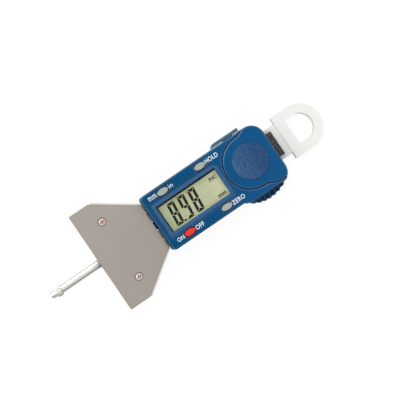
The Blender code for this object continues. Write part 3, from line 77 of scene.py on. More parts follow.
# Rays from each point that look for faces near it.
NEAR_SAMPLES = 6
# Points nearer than this, in metres, are one point.
SAME_POINT = 1e-6
# Faces that turn by less than the first angle are one flat face, and over the second they meet in an edge.
FLAT_DEGREES, EDGE_DEGREES = 0.4, 32.0
EDGE_STEPS = 2
# The rounding of an edge that stays sharp, in millimetres.
SHARP = 0.0


def at(x: float, y: float, z: float) -> Vector:
    """Turns millimetres from the measuring face, the centre line and the floor into a point of the frame."""
    return Vector((FACE + x * MM, y * MM, z * MM))


def linear(code: str) -> tuple[float, float, float, float]:
    """Turns a colour's sRGB hex code into the linear value that a shader takes.

    Args:
        code: the colour as "#RRGGBB".

    Returns:
        Red, green, blue and an alpha of one.
    """
    shares = [int(code[start : start + 2], 16) / 255 for start in (1, 3, 5)]
    red, green, blue = [s / 12.92 if s <= 0.04045 else ((s + 0.055) / 1.055) ** 2.4 for s in shares]
    return red, green, blue, 1.0


def add_node(
    tree: Tree, kind: str, inputs: dict[str | int, object] | None = None, **settings: object
) -> bpy.types.Node:
    """Adds one node with its settings and links.

    Args:
        tree: the node tree that gets it.
        kind: Blender's name for this type of node.
        inputs: for each input, by name or number, the socket to link or the value to set.
        settings: properties of the node itself.

    Returns:
        The new node.
    """
    made = tree.nodes.new(kind)
    for name, value in settings.items():
        setattr(made, name, value)
    for name, value in (inputs or {}).items():
        if isinstance(value, Socket):
            tree.links.new(value, made.inputs[name])
        else:
            made.inputs[name].default_value = value
    return made


class Lay(Enum):
    """How much longer than wide the marks of the tool are, along X, Y and Z."""

    GRAIN = (1.0, 1.0, 1.0)
    ALONG = (90.0, 1.0, 1.0)
    ACROSS = (1.0, 90.0, 1.0)
    RINGS = (1.0, 400.0, 400.0)


@dataclass(frozen=True)
class Finish:
    """A surface that one tool or mould made.

    Attributes:
        title: what the material is and how its surface was made.
        colour: its colour.
        drift: the colour that it drifts to.
        roughness: how much it blurs what it mirrors.
        depth_mm: how deep the marks of the tool are.
        spread: how far the marks move the roughness up and down.
        grain_mm: how wide the marks are drawn. A pixel of the picture is 0.5 mm wide, and marks that are
            really finer than a tenth of a millimetre are drawn as coarse as they need to show.
        lay: which way the marks run.
        cloud_mm: how wide the broad clouds in the colour are.
        cloud_share: how much of the drift follows the clouds; the rest follows the marks.
        metallic: one for bare metal.
        ior: index of refraction.
        gloss: strength of the mirror; 0.5 leaves it as the index of refraction gives it.
        rim_gloss: the same on faces that are half turned away, such as rounded rims.
        painted_shade: how much painted shade darkens the colour in grooves and corners.
        painted_shade_mm: how near the other face of a groove or corner is for that painted shade.
        rim_mm: how far from its edges a face is shaded as if it were rounded there.
    """

    title: str
    colour: str
    drift: str
    roughness: float
    depth_mm: float
    spread: float = 0.06
    grain_mm: float = 0.3
    lay: Lay = Lay.GRAIN
    cloud_mm: float = 14.0
    cloud_share: float = 0.6
    metallic: float = 0.0
    ior: float = 1.5
    gloss: float = 0.5
    rim_gloss: float = 0.0
    painted_shade: float = 0.0
    painted_shade_mm: float = 1.0
    rim_mm: float = 0.0

    def material(self) -> bpy.types.Material:
        """Makes the finish's material once, and gives the same one afterwards.

        Returns:
            The material.
        """
        made = bpy.data.materials.get(self.title)
        if made:
            return made
        made = bpy.data.materials.new(self.title)
        made.use_nodes = True
        made.diffuse_color = linear(self.colour)
        tree = made.node_tree
        tree.nodes.clear()
        self.shade(tree, add_node(tree, "ShaderNodeTexCoord").outputs["Object"])
        return made

    def shade(self, tree: Tree, place: Socket) -> None:
        """Joins colour, painted shade, gloss and marks in one shader.

        Args:
            tree: the material's nodes.
            place: the point of the surface, in metres.
        """
        marks = self.marks(tree, place)
        tone = self.tone(tree, place, marks)
        # Painted shade: the colour is darkened where grooves and corners hide the sky.
        if self.painted_shade:
            tone = self.paint_shade(tree, tone)
        self.surface(tree, tone, marks)

    def marks(self, tree: Tree, place: Socket) -> Socket:
        """Draws the marks of the tool.

        Args:
            tree: the material's nodes.
            place: the point of the surface, in metres.

        Returns:
            The height of the marks, from 0 to 1.
        """
        counts = [1 / (self.grain_mm * MM * long) for long in self.lay.value]
        laid = add_node(tree, "ShaderNodeMapping", {"Vector": place, "Scale": counts})
        return add_node(
            tree, "ShaderNodeTexNoise", {"Vector": laid.outputs[0], "Scale": 1.0, "Detail": 2.0}
        ).outputs["Fac"]

    def tone(self, tree: Tree, place: Socket, marks: Socket) -> Socket:
        """Mixes the finish's two colours by broad clouds and by the marks.

        Args:
            tree: the material's nodes.
            place: the point of the surface, in metres.
            marks: the height of the marks, from 0 to 1.

        Returns:
            The colour.
        """
        clouds = add_node(
            tree, "ShaderNodeTexNoise", {"Vector": place, "Scale": 1 / (self.cloud_mm * MM), "Detail": 3.0}
        )
        both = add_node(
            tree,
            "ShaderNodeMix",
            {FACTOR: self.cloud_share, VALUE_A: marks, VALUE_B: clouds.outputs["Fac"]},
            data_type="FLOAT",
        )
        wide = add_node(
            tree,
            "ShaderNodeMapRange",
            {"Value": both.outputs[0], "From Min": NOISE_LOW, "From Max": NOISE_HIGH},
        )
        return add_node(
            tree,
            "ShaderNodeMix",
            {FACTOR: wide.outputs[0], COLOUR_A: linear(self.colour), COLOUR_B: linear(self.drift)},
            data_type="RGBA",
        ).outputs[MIXED_COLOUR]

    def paint_shade(self, tree: Tree, tone: Socket) -> Socket:
        """Paints shade into the colour in grooves and corners, where a point sees little of the sky.

        Args:
            tree: the material's nodes.
            tone: the colour on open faces.

        Returns:
            The colour everywhere.
        """
        open_share = add_node(
            tree, "ShaderNodeAmbientOcclusion", {"Distance": self.painted_shade_mm * MM}, samples=NEAR_SAMPLES
        )
        kept = add_node(
            tree,
            "ShaderNodeMapRange",
            {
                "Value": open_share.outputs["AO"],
                "From Min": SHUT,
                "From Max": OPEN,
                "To Min": 1 - self.painted_shade,
            },
        )
        return add_node(
            tree,
            "ShaderNodeMix",
            {FACTOR: 1.0, COLOUR_A: tone, COLOUR_B: kept.outputs[0]},
            data_type="RGBA",
            blend_type="MULTIPLY",
        ).outputs[MIXED_COLOUR]

    def relief(self, tree: Tree, marks: Socket) -> Socket:
        """Turns the marks into bumps, on a face whose edges may be shaded as rounded.

        Args:
            tree: the material's nodes.
            marks: the height of the marks, from 0 to 1.

        Returns:
            The way that the surface faces.
        """
        inputs: dict[str | int, object] = {"Height": marks, "Distance": self.depth_mm * MM, "Strength": 1.0}
        if self.rim_mm:
            rounded = add_node(tree, "ShaderNodeBevel", {"Radius": self.rim_mm * MM}, samples=NEAR_SAMPLES)
            inputs["Normal"] = rounded.outputs[0]
        return add_node(tree, "ShaderNodeBump", inputs).outputs[0]

    def sheen(self, tree: Tree, facing: Socket) -> Socket | float:
        """Makes faces that are half turned away shine more than flat ones and those that stand on end.

        Args:
            tree: the material's nodes.
            facing: the way that the surface faces.

        Returns:
            The strength of the mirror.
        """
        if not self.rim_gloss:
            return self.gloss
        turned = add_node(tree, "ShaderNodeLayerWeight", {"Blend": 0.5, "Normal": facing})
        capped = add_node(
            tree, "ShaderNodeMath", {0: turned.outputs["Facing"], 1: 2 * SHEEN_MIDDLE}, operation="MINIMUM"
        )
        inside = add_node(
            tree, "ShaderNodeMath", {0: capped.outputs[0], 1: SHEEN_MIDDLE}, operation="PINGPONG"
        )
        return add_node(
            tree,
            "ShaderNodeMapRange",
            {
                "Value": inside.outputs[0],
                "From Max": SHEEN_FULL,
                "To Min": self.gloss,
                "To Max": self.rim_gloss,
            },
        ).outputs[0]

    def surface(self, tree: Tree, colour: Socket, marks: Socket) -> None:
        """Adds the shader and the material's output.

        Args:
            tree: the material's nodes.
            colour: the surface's colour.
            marks: the height of the marks, from 0 to 1.
        """
        rough = add_node(
            tree,
            "ShaderNodeMapRange",
            {
                "Value": marks,
                "From Min": NOISE_LOW,
                "From Max": NOISE_HIGH,
                "To Min": self.roughness - self.spread,
                "To Max": self.roughness + self.spread,
            },
        )
        facing = self.relief(tree, marks)
        shader = add_node(
            tree,
            "ShaderNodeBsdfPrincipled",
            {
                "Base Color": colour,
                "Roughness": rough.outputs[0],
                "Normal": facing,
                "Metallic": self.metallic,
                "IOR": self.ior,
                "Specular IOR Level": self.sheen(tree, facing),
            },
        )
        add_node(tree, "ShaderNodeOutputMaterial", {"Surface": shader.outputs[0]})


@dataclass(frozen=True)
class Metal(Finish):
    """A bare metal, which tints all that it mirrors."""

    metallic: float = 1.0


@dataclass(frozen=True)
class Layered(Finish):
    """A surface with a second colour, over, that shows in some places."""

    over: str = "#FFFFFF"

    def share(self, tree: Tree, place: Socket) -> Socket:
        """Says where the second colour shows, which each kind of layer does in its own way.

        Args:
            tree: the material's nodes.
            place: the point of the surface, in metres.

        Returns:
            The share of the second colour, from 0 to 1.
        """
        raise NotImplementedError

    def tone(self, tree: Tree, place: Socket, marks: Socket) -> Socket:
        """Lays the second colour over the surface's own drift of colour.

        Args:
            tree: the material's nodes.
            place: the point of the surface, in metres.
            marks: the height of the marks, from 0 to 1.

        Returns:
            The colour.
        """
        ground = super().tone(tree, place, marks)
        return add_node(
            tree,
            "ShaderNodeMix",
            {FACTOR: self.share(tree, place), COLOUR_A: ground, COLOUR_B: linear(self.over)},
            data_type="RGBA",
        ).outputs[MIXED_COLOUR]


@dataclass(frozen=True)
class Speckled(Layered):
    """A sheet with flecks scattered in it, where a noise is over the values of fleck_span."""

    fleck_mm: float = 0.8
    fleck_span: Point = (0.52, 0.62)

    def share(self, tree: Tree, place: Socket) -> Socket:
        """Scatters the flecks.

        Args:
            tree: the material's nodes.
            place: the point of the surface, in metres.

        Returns:
            The share of the flecks' colour, from 0 to 1.
        """
        cells = add_node(
            tree, "ShaderNodeTexNoise", {"Vector": place, "Scale": 1 / (self.fleck_mm * MM), "Detail": 4.0}
        )
        start, end = self.fleck_span
        return add_node(
            tree, "ShaderNodeMapRange", {"Value": cells.outputs["Fac"], "From Min": start, "From Max": end}
        ).outputs[0]


@dataclass(frozen=True)
class Banded(Layered):
    """Fine layers stacked along one axis, as in the rubber that joins a display to its board."""

    band_mm: float = 0.4

    def share(self, tree: Tree, place: Socket) -> Socket:
        """Lays one band beside the other.

        Args:
            tree: the material's nodes.
            place: the point of the surface, in metres.

        Returns:
            The share of the pale bands, from 0 to 1.
        """
        return add_node(
            tree,
            "ShaderNodeTexWave",
            {"Vector": place, "Scale": 1 / (self.band_mm * MM) / math.tau, "Distortion": 0.2},
            bands_direction="X",
        ).outputs["Fac"]


@dataclass(frozen=True)
class Graded(Layered):
    """A surface whose colour goes slowly over to another one, between two places along the gauge."""

    span_mm: Point = (40.0, 80.0)

    def share(self, tree: Tree, place: Socket) -> Socket:
        """Lets the far colour take over along the gauge.

        Args:
            tree: the material's nodes.
            place: the point of the surface, in metres.

        Returns:
            The share of the far colour, from 0 to 1.
        """
        parts = add_node(tree, "ShaderNodeSeparateXYZ", {0: place})
        start, end = [at(x, 0.0, 0.0).x for x in self.span_mm]
        return add_node(
            tree, "ShaderNodeMapRange", {"Value": parts.outputs[0], "From Min": start, "From Max": end}
        ).outputs[0]


@dataclass(frozen=True)
class Clear(Finish):
    """A clear polished sheet: what lies under it shows, and its gloss lies over that."""

    def surface(self, tree: Tree, colour: Socket, marks: Socket) -> None:
        """Lets the light through, apart from what the polish throws back.

        Args:
            tree: the material's nodes.
            colour: the tint of what shows through.
            marks: the height of the marks, from 0 to 1.
        """
        facing = self.relief(tree, marks)
        through = add_node(tree, "ShaderNodeBsdfTransparent", {"Color": colour})
        back = add_node(tree, "ShaderNodeBsdfGlossy", {"Roughness": self.roughness, "Normal": facing})
        turned = add_node(tree, "ShaderNodeLayerWeight", {"Blend": 0.5})
        steep = add_node(
            tree, "ShaderNodeMath", {0: turned.outputs["Facing"], 1: MIRROR_POWER}, operation="POWER"
        )
        least = ((self.ior - 1) / (self.ior + 1)) ** 2
        polish = add_node(
            tree, "ShaderNodeMapRange", {"Value": steep.outputs[0], "To Min": least, "To Max": 1.0}
        )
        side = add_node(tree, "ShaderNodeNewGeometry")
        share = add_node(
            tree,
            "ShaderNodeMapRange",
            {"Value": side.outputs["Backfacing"], "To Min": polish.outputs[0], "To Max": 0.0},
        )
        both = add_node(
            tree, "ShaderNodeMixShader", {0: share.outputs[0], 1: through.outputs[0], 2: back.outputs[0]}
        )
        add_node(tree, "ShaderNodeOutputMaterial", {"Surface": both.outputs[0]})


# ABS from a spark-eroded mould: a matt grain keeps the blue deep and even, and the rounded rims shine.
# Painted shade darkens its grooves and corners.
HOUSING_ABS = Graded(
    "abs_spark_eroded_blue", "#014C72", "#013F6A", roughness=0.34, depth_mm=0.006, cloud_mm=26.0, gloss=0.02,
    rim_gloss=1.5, painted_shade=0.95, painted_shade_mm=2.6, rim_mm=1.3, over="#024D7E", span_mm=(45.0, 85.0)
)
# ABS from a smoother mould: paler and a little glossier, which sets the display's frame off from the shell.
# A little painted shade darkens its corners.
BEZEL_ABS = Finish(
    "abs_moulded_bezel_blue", "#335C86", "#2C567E", roughness=0.36, depth_mm=0.004, cloud_mm=12.0, gloss=0.1,
    rim_gloss=0.6, painted_shade=0.4
)
# ABS with a coarse etched grain: the colour is painted paler than the shell's, a painted sheen for the light
# that the bumps catch, and goes darker towards the tail; painted shade darkens its hollows.
GRIP_ABS_PAINTED_SHEEN = Graded(
    "abs_etched_grip_blue_painted_sheen", "#37699A", "#144976", roughness=0.36, depth_mm=0.02, spread=0.1, grain_mm=0.4,
    cloud_mm=1.4, gloss=0.15, rim_gloss=0.55, painted_shade=0.7, painted_shade_mm=0.5, over="#00457A", span_mm=(82.0, 95.0)
)
# ABS, a greyer and greener blue than the shell's: the data port's cover, whose ribs catch a thin pale line.
# Painted shade darkens the grooves between its ribs.
PORT_ABS = Finish(
    "abs_moulded_port_navy", "#427282", "#315F70", roughness=0.34, depth_mm=0.004, gloss=0.15, rim_gloss=1.0,
    painted_shade=0.9, painted_shade_mm=0.6, rim_mm=0.3
)
# Stainless steel, ground and then satin brushed: a warm even grey with fine lines across the plate.
PLATE_STEEL = Metal(
    "stainless_steel_satin", "#A8A19A", "#A29B93", roughness=0.42, depth_mm=0.0015, spread=0.05,
    grain_mm=0.12, lay=Lay.ACROSS
)
# Hardened steel, ground: brighter than the plate, with lines that run with the wheel.
# Painted shade darkens it in its corners and gaps.
BASE_STEEL = Metal(
    "hardened_steel_ground", "#F4F1EB", "#EAE6DF", roughness=0.5, depth_mm=0.002, grain_mm=0.15,
    lay=Lay.ACROSS, painted_shade=0.75, painted_shade_mm=1.0
)
# Steel, hard chromed and polished: a clear mirror with faint rings from the lathe, and painted shade
# that darkens it next to the base and over the floor.
ROD_STEEL = Metal(
    "chromed_steel_polished", "#F2F1ED", "#E6E5E0", roughness=0.12, depth_mm=0.0006, spread=0.04,
    grain_mm=0.1, lay=Lay.RINGS, painted_shade=0.95, painted_shade_mm=5.0
)
# The same steel, knurled: the ridges shine, the grooves stay dull.
KNURL_STEEL = Metal(
    "chromed_steel_knurled", "#E8E6E0", "#CFCCC4", roughness=0.2, depth_mm=0.002, grain_mm=0.2
)
# Brass, turned: warm rings.
BRASS = Metal(
    "brass_turned", "#D9B36A", "#C79F55", roughness=0.3, depth_mm=0.001, grain_mm=0.12, lay=Lay.RINGS
)
# Steel screws, copper flashed and nickelled: a faint pink tint round the recess; painted shade darkens the
# recess.
PLATE_SCREW = Metal(
    "steel_copper_flashed", "#F4E2D6", "#E6CBBA", roughness=0.42, depth_mm=0.003, spread=0.08, grain_mm=0.25,
    painted_shade=0.95, painted_shade_mm=0.8
)
# Steel screws, zinc plated: cool and slightly cloudy.
ZINC_SCREW = Metal("steel_zinc_plated", "#C4C6C8", "#A9ACB0", roughness=0.35, depth_mm=0.003, spread=0.08)
# ABS filled with white, moulded: near-white without lines, and a soft sheen.
RING_ABS = Finish(
    "abs_moulded_white", "#E9E9E6", "#E3E4E0", roughness=0.42, depth_mm=0.004, grain_mm=0.35, gloss=0.4
)
# Glass-epoxy sheet, lacquered black over its copper pattern: greyish brown flecks where that shows through.
SCALE_SHEET = Speckled(
    "glass_epoxy_lacquered", "#2B2725", "#1F1C1A", roughness=0.35, depth_mm=0.003, grain_mm=0.4,
    over="#776C61"
)
# Acrylic, polished: clear, with a gloss kept thinner than its real index of 1.49 gives, so the glass shows.
LENS_ACRYLIC = Clear(
    "acrylic_polished", "#FFFFFF", "#F8FAF6", roughness=0.04, depth_mm=0.001, spread=0.0, grain_mm=6.0,
    ior=1.3
)
# Display glass over a silvered back: a matt sage green, paler and warmer at the far end.
LCD_GLASS = Graded(
    "glass_display_cell", "#B8BD9C", "#B2B895", roughness=0.35, depth_mm=0.0005, spread=0.03, grain_mm=0.5,
    cloud_mm=18.0, gloss=0.15, over="#CBCAAB", span_mm=(45.0, 72.0)
)
# Liquid crystal switched on: nearly black.
LCD_SEGMENT = Finish(
    "liquid_crystal_dark", "#0E100A", "#15170F", roughness=0.4, depth_mm=0.001, spread=0.05, grain_mm=0.4,
    gloss=0.1
)
# Acetal, moulded: milky white.
HOLDER_ACETAL = Finish(
    "acetal_moulded_white", "#E9E9E2", "#DFDFD6", roughness=0.4, depth_mm=0.003, grain_mm=0.4
)
# Silicone rubber in conducting and clear layers: dull, in dark and pale bands.
ZEBRA = Banded(
    "silicone_rubber_layered", "#1E1E20", "#2A2A2C", roughness=0.55, depth_mm=0.002, spread=0.05,
    over="#E8E4D8"
)
# Glass-epoxy under green lacquer: a fine weave and a wet gloss.
BOARD = Speckled(
    "glass_epoxy_green_lacquer", "#0F5A34", "#0C4E2C", roughness=0.25, depth_mm=0.004, spread=0.05,
    over="#1D7A4A", fleck_mm=1.2
)
# Epoxy resin, poured: glossy black with a soft skin.
RESIN = Finish(
    "epoxy_resin_poured", "#17171A", "#202024", roughness=0.22, depth_mm=0.02, spread=0.08, grain_mm=1.2
)
# Ceramic, fired: dull brown-grey blocks.
CERAMIC = Finish("ceramic_fired", "#9C8468", "#8C745A", roughness=0.5, depth_mm=0.003, grain_mm=0.2)
# Silicone rubber, moulded: dull and slightly dusty, with a soft light round the rim.
GREY_KEY = Finish(
    "silicone_rubber_grey", "#A4ABA6", "#989F99", roughness=0.5, depth_mm=0.005, spread=0.08, gloss=0.2,
    rim_gloss=0.5
)
# The same rubber in red: the brightest spot of the deck.
RED_KEY = Finish(
    "silicone_rubber_red", "#E2342C", "#D62D27", roughness=0.5, depth_mm=0.005, spread=0.08, gloss=0.2,
    rim_gloss=0.5
)
# Gold over nickel, flashed: bright and warm.
GOLD = Metal(
    "copper_gold_flashed", "#F0C86A", "#E0B458", roughness=0.24, depth_mm=0.001, spread=0.05, grain_mm=0.2
)
# Nickelled steel can, drawn: bright, with marks in circles that read as a fine grain.
CELL_CAN = Metal(
    "steel_can_nickelled", "#D8D8D4", "#C6C6C2", roughness=0.26, depth_mm=0.001, grain_mm=0.15
)
# Spring steel, rolled: a cool grey with lines along the sheet.
SPRING = Metal(
    "spring_steel_rolled", "#BFC0BE", "#A8AAA8", roughness=0.3, depth_mm=0.001, grain_mm=0.15, lay=Lay.ALONG
)
# Ink, pad printed: a thin matt white film.
WHITE_INK = Finish(
    "ink_pad_printed_white", "#F6F8F9", "#EDF2F5", roughness=0.6, depth_mm=0.002, spread=0.05, grain_mm=0.25,
    gloss=0.2
)


def weld(piece: bpy.types.Object) -> None:
    """Joins the points that lie on one another."""
    piece.modifiers.new("weld", "WELD").merge_threshold = SAME_POINT


def soften(piece: bpy.types.Object, edge_mm: float) -> None:
    """Rounds the sharp edges as moulds and tools leave them, and lets turned faces shade as round.

    Args:
        piece: the object to treat.
        edge_mm: how wide the rounding is.
    """
    weld(piece)
    if edge_mm:
        flat = piece.modifiers.new("flat", "DECIMATE")
        flat.decimate_type = "DISSOLVE"
        flat.angle_limit = math.radians(FLAT_DEGREES)
        edge = piece.modifiers.new("edge", "BEVEL")
        edge.width = edge_mm * MM
        edge.segments = EDGE_STEPS
        edge.limit_method = "ANGLE"
        edge.angle_limit = math.radians(EDGE_DEGREES)
        edge.harden_normals = True
    piece.modifiers.new("normals", "WEIGHTED_NORMAL").keep_sharp = True


def dress(finish: Finish, names: Sequence[str], edge_mm: float) -> None:
    """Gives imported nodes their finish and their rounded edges.

    Args:
        finish: the surface that they get.
        names: the nodes.
        edge_mm: how wide their edges are rounded.
    """
    for name in names:
        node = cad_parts[name]
        node.data.materials.clear()
        node.data.materials.append(finish.material())
        soften(node, edge_mm)
        LOG.info("%s dressed in %s", name, finish.title)


def add_piece(
    name: str,
    points: Sequence[Sequence[float]],
    faces: Sequence[Sequence[int]],
    finish: Finish,
    body: str,
    smooth: bool = False,
) -> bpy.types.Object:
    """Makes a new piece of the scene from its points and faces, and lets it ride on a body.

    Args:
        name: the piece's name.
        points: its points in the frame, in metres.
        faces: its faces, as numbers of points.
        finish: the surface that it gets.
        body: the body that it moves with.
        smooth: whether its faces shade as round.

    Returns:
        The piece.
    """
    mesh = bpy.data.meshes.new(name)
    mesh.from_pydata([tuple(point) for point in points], [], [tuple(face) for face in faces])
    mesh.validate()
    mesh.polygons.foreach_set("use_smooth", [smooth] * len(mesh.polygons))
    mesh.materials.append(finish.material())
    piece = bpy.data.objects.new(name, mesh)
    bpy.context.scene.collection.objects.link(piece)
    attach(piece, body)
    LOG.info("%s made, %d faces", name, len(faces))
    return piece


def circle(radius: float, steps: int) -> Loop:
    """Gives evenly spaced points of a circle, anticlockwise.

    Args:
        radius: the circle's radius.
        steps: how many points it gets.

    Returns:
        The points, round an origin of zero.
    """
    turns = [math.tau * step / steps for step in range(steps)]
    return [(radius * math.cos(turn), radius * math.sin(turn)) for turn in turns]


def band(near: int, far: int, count: int) -> list[list[int]]:
    """Gives the faces between two rings of points.

    Args:
        near: number of the first point of one ring.
        far: number of the first point of the other ring.
        count: how many points each ring has.

    Returns:
        The faces, as numbers of points.
    """
    return [[near + i, far + i, far + (i + 1) % count, near + (i + 1) % count] for i in range(count)]


def plates(loops: Sequence[Loop], low: float, high: float) -> tuple[list[Vector], list[list[int]]]:
    """Raises flat outlines into thin closed plates.

    Args:
        loops: outlines that turn anticlockwise, in millimetres.
        low: height of their undersides.
        high: height of their tops.

    Returns:
        Their points and faces.
    """
    points: list[Vector] = []
    faces: list[list[int]] = []
    for loop in loops:
        count, first = len(loop), len(points)
        points += [at(x, y, low) for x, y in loop] + [at(x, y, high) for x, y in loop]
        faces.append([first + index for index in reversed(range(count))])
        faces.append([first + count + index for index in range(count)])
        for index in range(count):
            after = (index + 1) % count
            faces.append([first + index, first + after, first + count + after, first + count + index])
    return points, faces


@dataclass(frozen=True)
class Words:
    """A few letters printed in one place.

    Attributes:
        name: the piece's name.
        text: the letters.
        middle: where their middle is, in millimetres.
        size: how wide and high they are, in millimetres.
        lean: how far their tops lean over, as a share of their height.
        weight: how much bolder than the font they are, as a share of the font's size.
        spacing: how far apart they are, as a share of what the font asks for.
        curve_steps: how finely their curves are drawn.
    """

    name: str
    text: str
    middle: Point
    size: Point
    lean: float = 0.0
    weight: float = 0.006
    spacing: float = 1.08
    curve_steps: int = 4

    def print_on(self, height: float, film: float, finish: Finish, body: str, slot: str) -> bpy.types.Object:
        """Prints the letters as a thin film.

        Args:
            height: height of the face that carries them, in millimetres.
            film: how thick the film is, in millimetres.
            finish: the ink.
            body: the body that carries them.
            slot: the record's slot that the ink belongs to; not used.

        Returns:
            The printed piece.
        """
        curve = bpy.data.curves.new(self.name, "FONT")
        curve.body = self.text
        curve.extrude = 0.5
        curve.offset = self.weight
        curve.space_character = self.spacing
        curve.resolution_u = self.curve_steps
        guide = bpy.data.objects.new(self.name, curve)
        bpy.context.scene.collection.objects.link(guide)
        bpy.context.view_layer.update()
        mesh = bpy.data.meshes.new_from_object(guide.evaluated_get(bpy.context.evaluated_depsgraph_get()))
        bpy.data.objects.remove(guide)
        spots = [vertex.co.copy() for vertex in mesh.vertices]
        faces = [list(polygon.vertices) for polygon in mesh.polygons]
        bpy.data.meshes.remove(mesh)
        low = Vector([min(spot[axis] for spot in spots) for axis in range(3)])
        high = Vector([max(spot[axis] for spot in spots) for axis in range(3)])
        # Each letter's point as shares of the whole text's width, height and thickness.
        shares = [
            [(spot[axis] - low[axis]) / (high[axis] - low[axis]) for axis in range(3)] for spot in spots
        ]
        points = [
            at(
                self.middle[0] + (along - 0.5) * self.size[0] + (up - 0.5) * self.size[1] * self.lean,
                self.middle[1] + (up - 0.5) * self.size[1],
                height + thick * film,
            )
            for along, up, thick in shares
        ]
        return add_piece(self.name, points, faces, finish, body)


class Segment(Enum):
    """The seven bars of a digit, from the top round to the middle; their values add up to a digit's bars."""

    TOP = 1
    TOP_RIGHT = 2
    LOW_RIGHT = 4
    FOOT = 8
    LOW_LEFT = 16
    TOP_LEFT = 32
    MIDDLE = 64


@dataclass
class Digit:
    """One seven-bar digit: the middle of its foot, its bars and its sizes, in millimetres."""

    foot: Point
    bars: int
    width: float = 4.1
    height: float = 12.1
    bar: float = 1.42
    gap: float = 0.16
    lean: float = 0.095

    def outlines(self) -> list[Loop]:
        """Draws the bars that are switched on.

        Returns:
            Their outlines, in millimetres.
        """
        wide, tall, bar, gap = self.width, self.height, self.bar, self.gap
        half, thin = tall / 2, bar / 2
        # Places of the bars' inner corners: near and far across, under and over the middle bar.
        near, far, under, over = bar + gap, wide - bar - gap, half - thin, half + thin
        shapes = {
            Segment.TOP: [(gap, tall), (near, tall - bar), (far, tall - bar), (wide - gap, tall)],
            Segment.FOOT: [(gap, 0), (wide - gap, 0), (far, bar), (near, bar)],
            Segment.TOP_LEFT: [
                (0, tall - gap), (0, half + gap), (thin, half + gap), (bar, over + gap),
                (bar, tall - bar - gap)
            ],
            Segment.LOW_LEFT: [
                (0, gap), (bar, bar + gap), (bar, under - gap), (thin, half - gap), (0, half - gap)
            ],
            Segment.TOP_RIGHT: [
                (wide, tall - gap), (wide - bar, tall - bar - gap), (wide - bar, over + gap),
                (wide - thin, half + gap), (wide, half + gap)
            ],
            Segment.LOW_RIGHT: [
                (wide, gap), (wide, half - gap), (wide - thin, half - gap), (wide - bar, under - gap),
                (wide - bar, bar + gap)
            ],
            Segment.MIDDLE: [
                (thin + gap, half), (near, under), (far, under), (wide - thin - gap, half), (far, over),
                (near, over)
            ],
        }
        lit = [shape for segment, shape in shapes.items() if segment.value & self.bars]
        x, y = self.foot
        return [[(x - wide / 2 + across + up * self.lean, y + up) for across, up in shape] for shape in lit]


@dataclass
class PlateScrew:
    """A countersunk screw: a domed head in a dark ring, with a cross recess; sizes in millimetres.

    Attributes:
        node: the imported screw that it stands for.
        land: radius of the head's face.
        collar: inner radius of the plate's rim round the ring.
        collar_gap: play of that rim over the ring's floor.
        ring_sunk: how deep the ring is.
        dome: how high the head's face is domed.
        arm: half the width of an arm of the cross.
        reach: half the length of an arm.
        deep: how deep the cross is in the middle.
        slope: how much of that depth is lost at the ends of the arms.
        wall: how wide the slanting walls of recess and ring are.
        shank: radius of the shank.
        ring_steps: rings of points on the head.
        round_steps: points in each ring.
    """

    node: str
    land: float = 1.58
    collar: float = 1.66
    collar_gap: float = 0.04
    ring_sunk: float = 0.45
    dome: float = 0.1
    arm: float = 0.3
    reach: float = 1.2
    deep: float = 0.9
    slope: float = 0.5
    wall: float = 0.1
    shank: float = 1.0
    ring_steps: int = 30
    round_steps: int = 96

    def depth(self, x: float, y: float) -> float:
        """Gives how far the head's face lies under its highest point.

        Args:
            x: place from the head's middle, in millimetres.
            y: place across it.

        Returns:
            The depth in millimetres.
        """
        out = math.hypot(x, y)
        along, across = max(abs(x), abs(y)), min(abs(x), abs(y))
        inside = min(self.arm - across, self.reach - along)
        recess = self.deep * (1 - self.slope * along / self.reach) * min(1.0, max(0.0, inside / self.wall))
        groove = self.ring_sunk * min(1.0, max(0.0, (out - self.land) / self.wall))
        return self.dome * (out / self.land) ** 2 * (out <= self.land) + max(recess, groove)

    def build(self) -> None:
        """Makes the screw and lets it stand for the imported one."""
        low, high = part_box(self.node)
        x, y, head = (low.x + high.x) / 2, (low.y + high.y) / 2, (high.x - low.x) / 2 / MM
        count = self.round_steps
        points = [Vector((x, y, high.z - self.depth(0.0, 0.0) * MM))]
        for ring in range(1, self.ring_steps + 1):
            for dx, dy in circle(head * ring / self.ring_steps, count):
                points.append(Vector((x + dx * MM, y + dy * MM, high.z - self.depth(dx, dy) * MM)))
        cone_end = high.z - (self.ring_sunk + head - self.shank) * MM
        for z in (cone_end, low.z):
            points += [Vector((x + dx * MM, y + dy * MM, z)) for dx, dy in circle(self.shank, count)]
        faces = [[0, 1 + step, 1 + (step + 1) % count] for step in range(count)]
        for ring in range(self.ring_steps + 1):
            faces += band(1 + ring * count, 1 + (ring + 1) * count, count)
        faces.append([len(points) - 1 - step for step in range(count)])
        piece = add_piece(f"{self.node}_head", points, faces, PLATE_SCREW, "gauge_body")
        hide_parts(self.node)
        self.build_collar(Vector((x, y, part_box("base_front_plate")[1].z)), head)

    def build_collar(self, middle: Vector, head: float) -> None:
        """Makes the plate's own rim that closes the countersink round the head.

        Args:
            middle: the hole's middle on the plate's face.
            head: the hole's radius, in millimetres.
        """
        drop = self.ring_sunk - self.collar_gap * 2
        profile = [(self.collar, 0.0), (head, 0.0), (head, drop), (self.collar, drop)]
        sides, count = len(profile), self.round_steps
        points = [
            middle + Vector((dx, dy, -down)) * MM for out, down in profile for dx, dy in circle(out, count)
        ]
        faces: list[list[int]] = []
        for side in range(sides):
            faces += band(side * count, (side + 1) % sides * count, count)
        add_piece(f"{self.node}_collar", points, faces, PLATE_STEEL, "gauge_body")


@dataclass
class MeasuringBase:
    """The wide foot with its ground face, its cover plate and the bush that guides the rod."""

    edge_mm: float = 0.15

    def build(self) -> None:
        """Dresses the foot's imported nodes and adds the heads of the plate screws."""
        dress(BASE_STEEL, ["base_body"], self.edge_mm)
        dress(PLATE_STEEL, ["base_front_plate"], self.edge_mm)
        PlateScrew("base_screw_1").build()
        PlateScrew("base_screw_2").build()
        dress(BRASS, ["rod_bush"], SHARP)


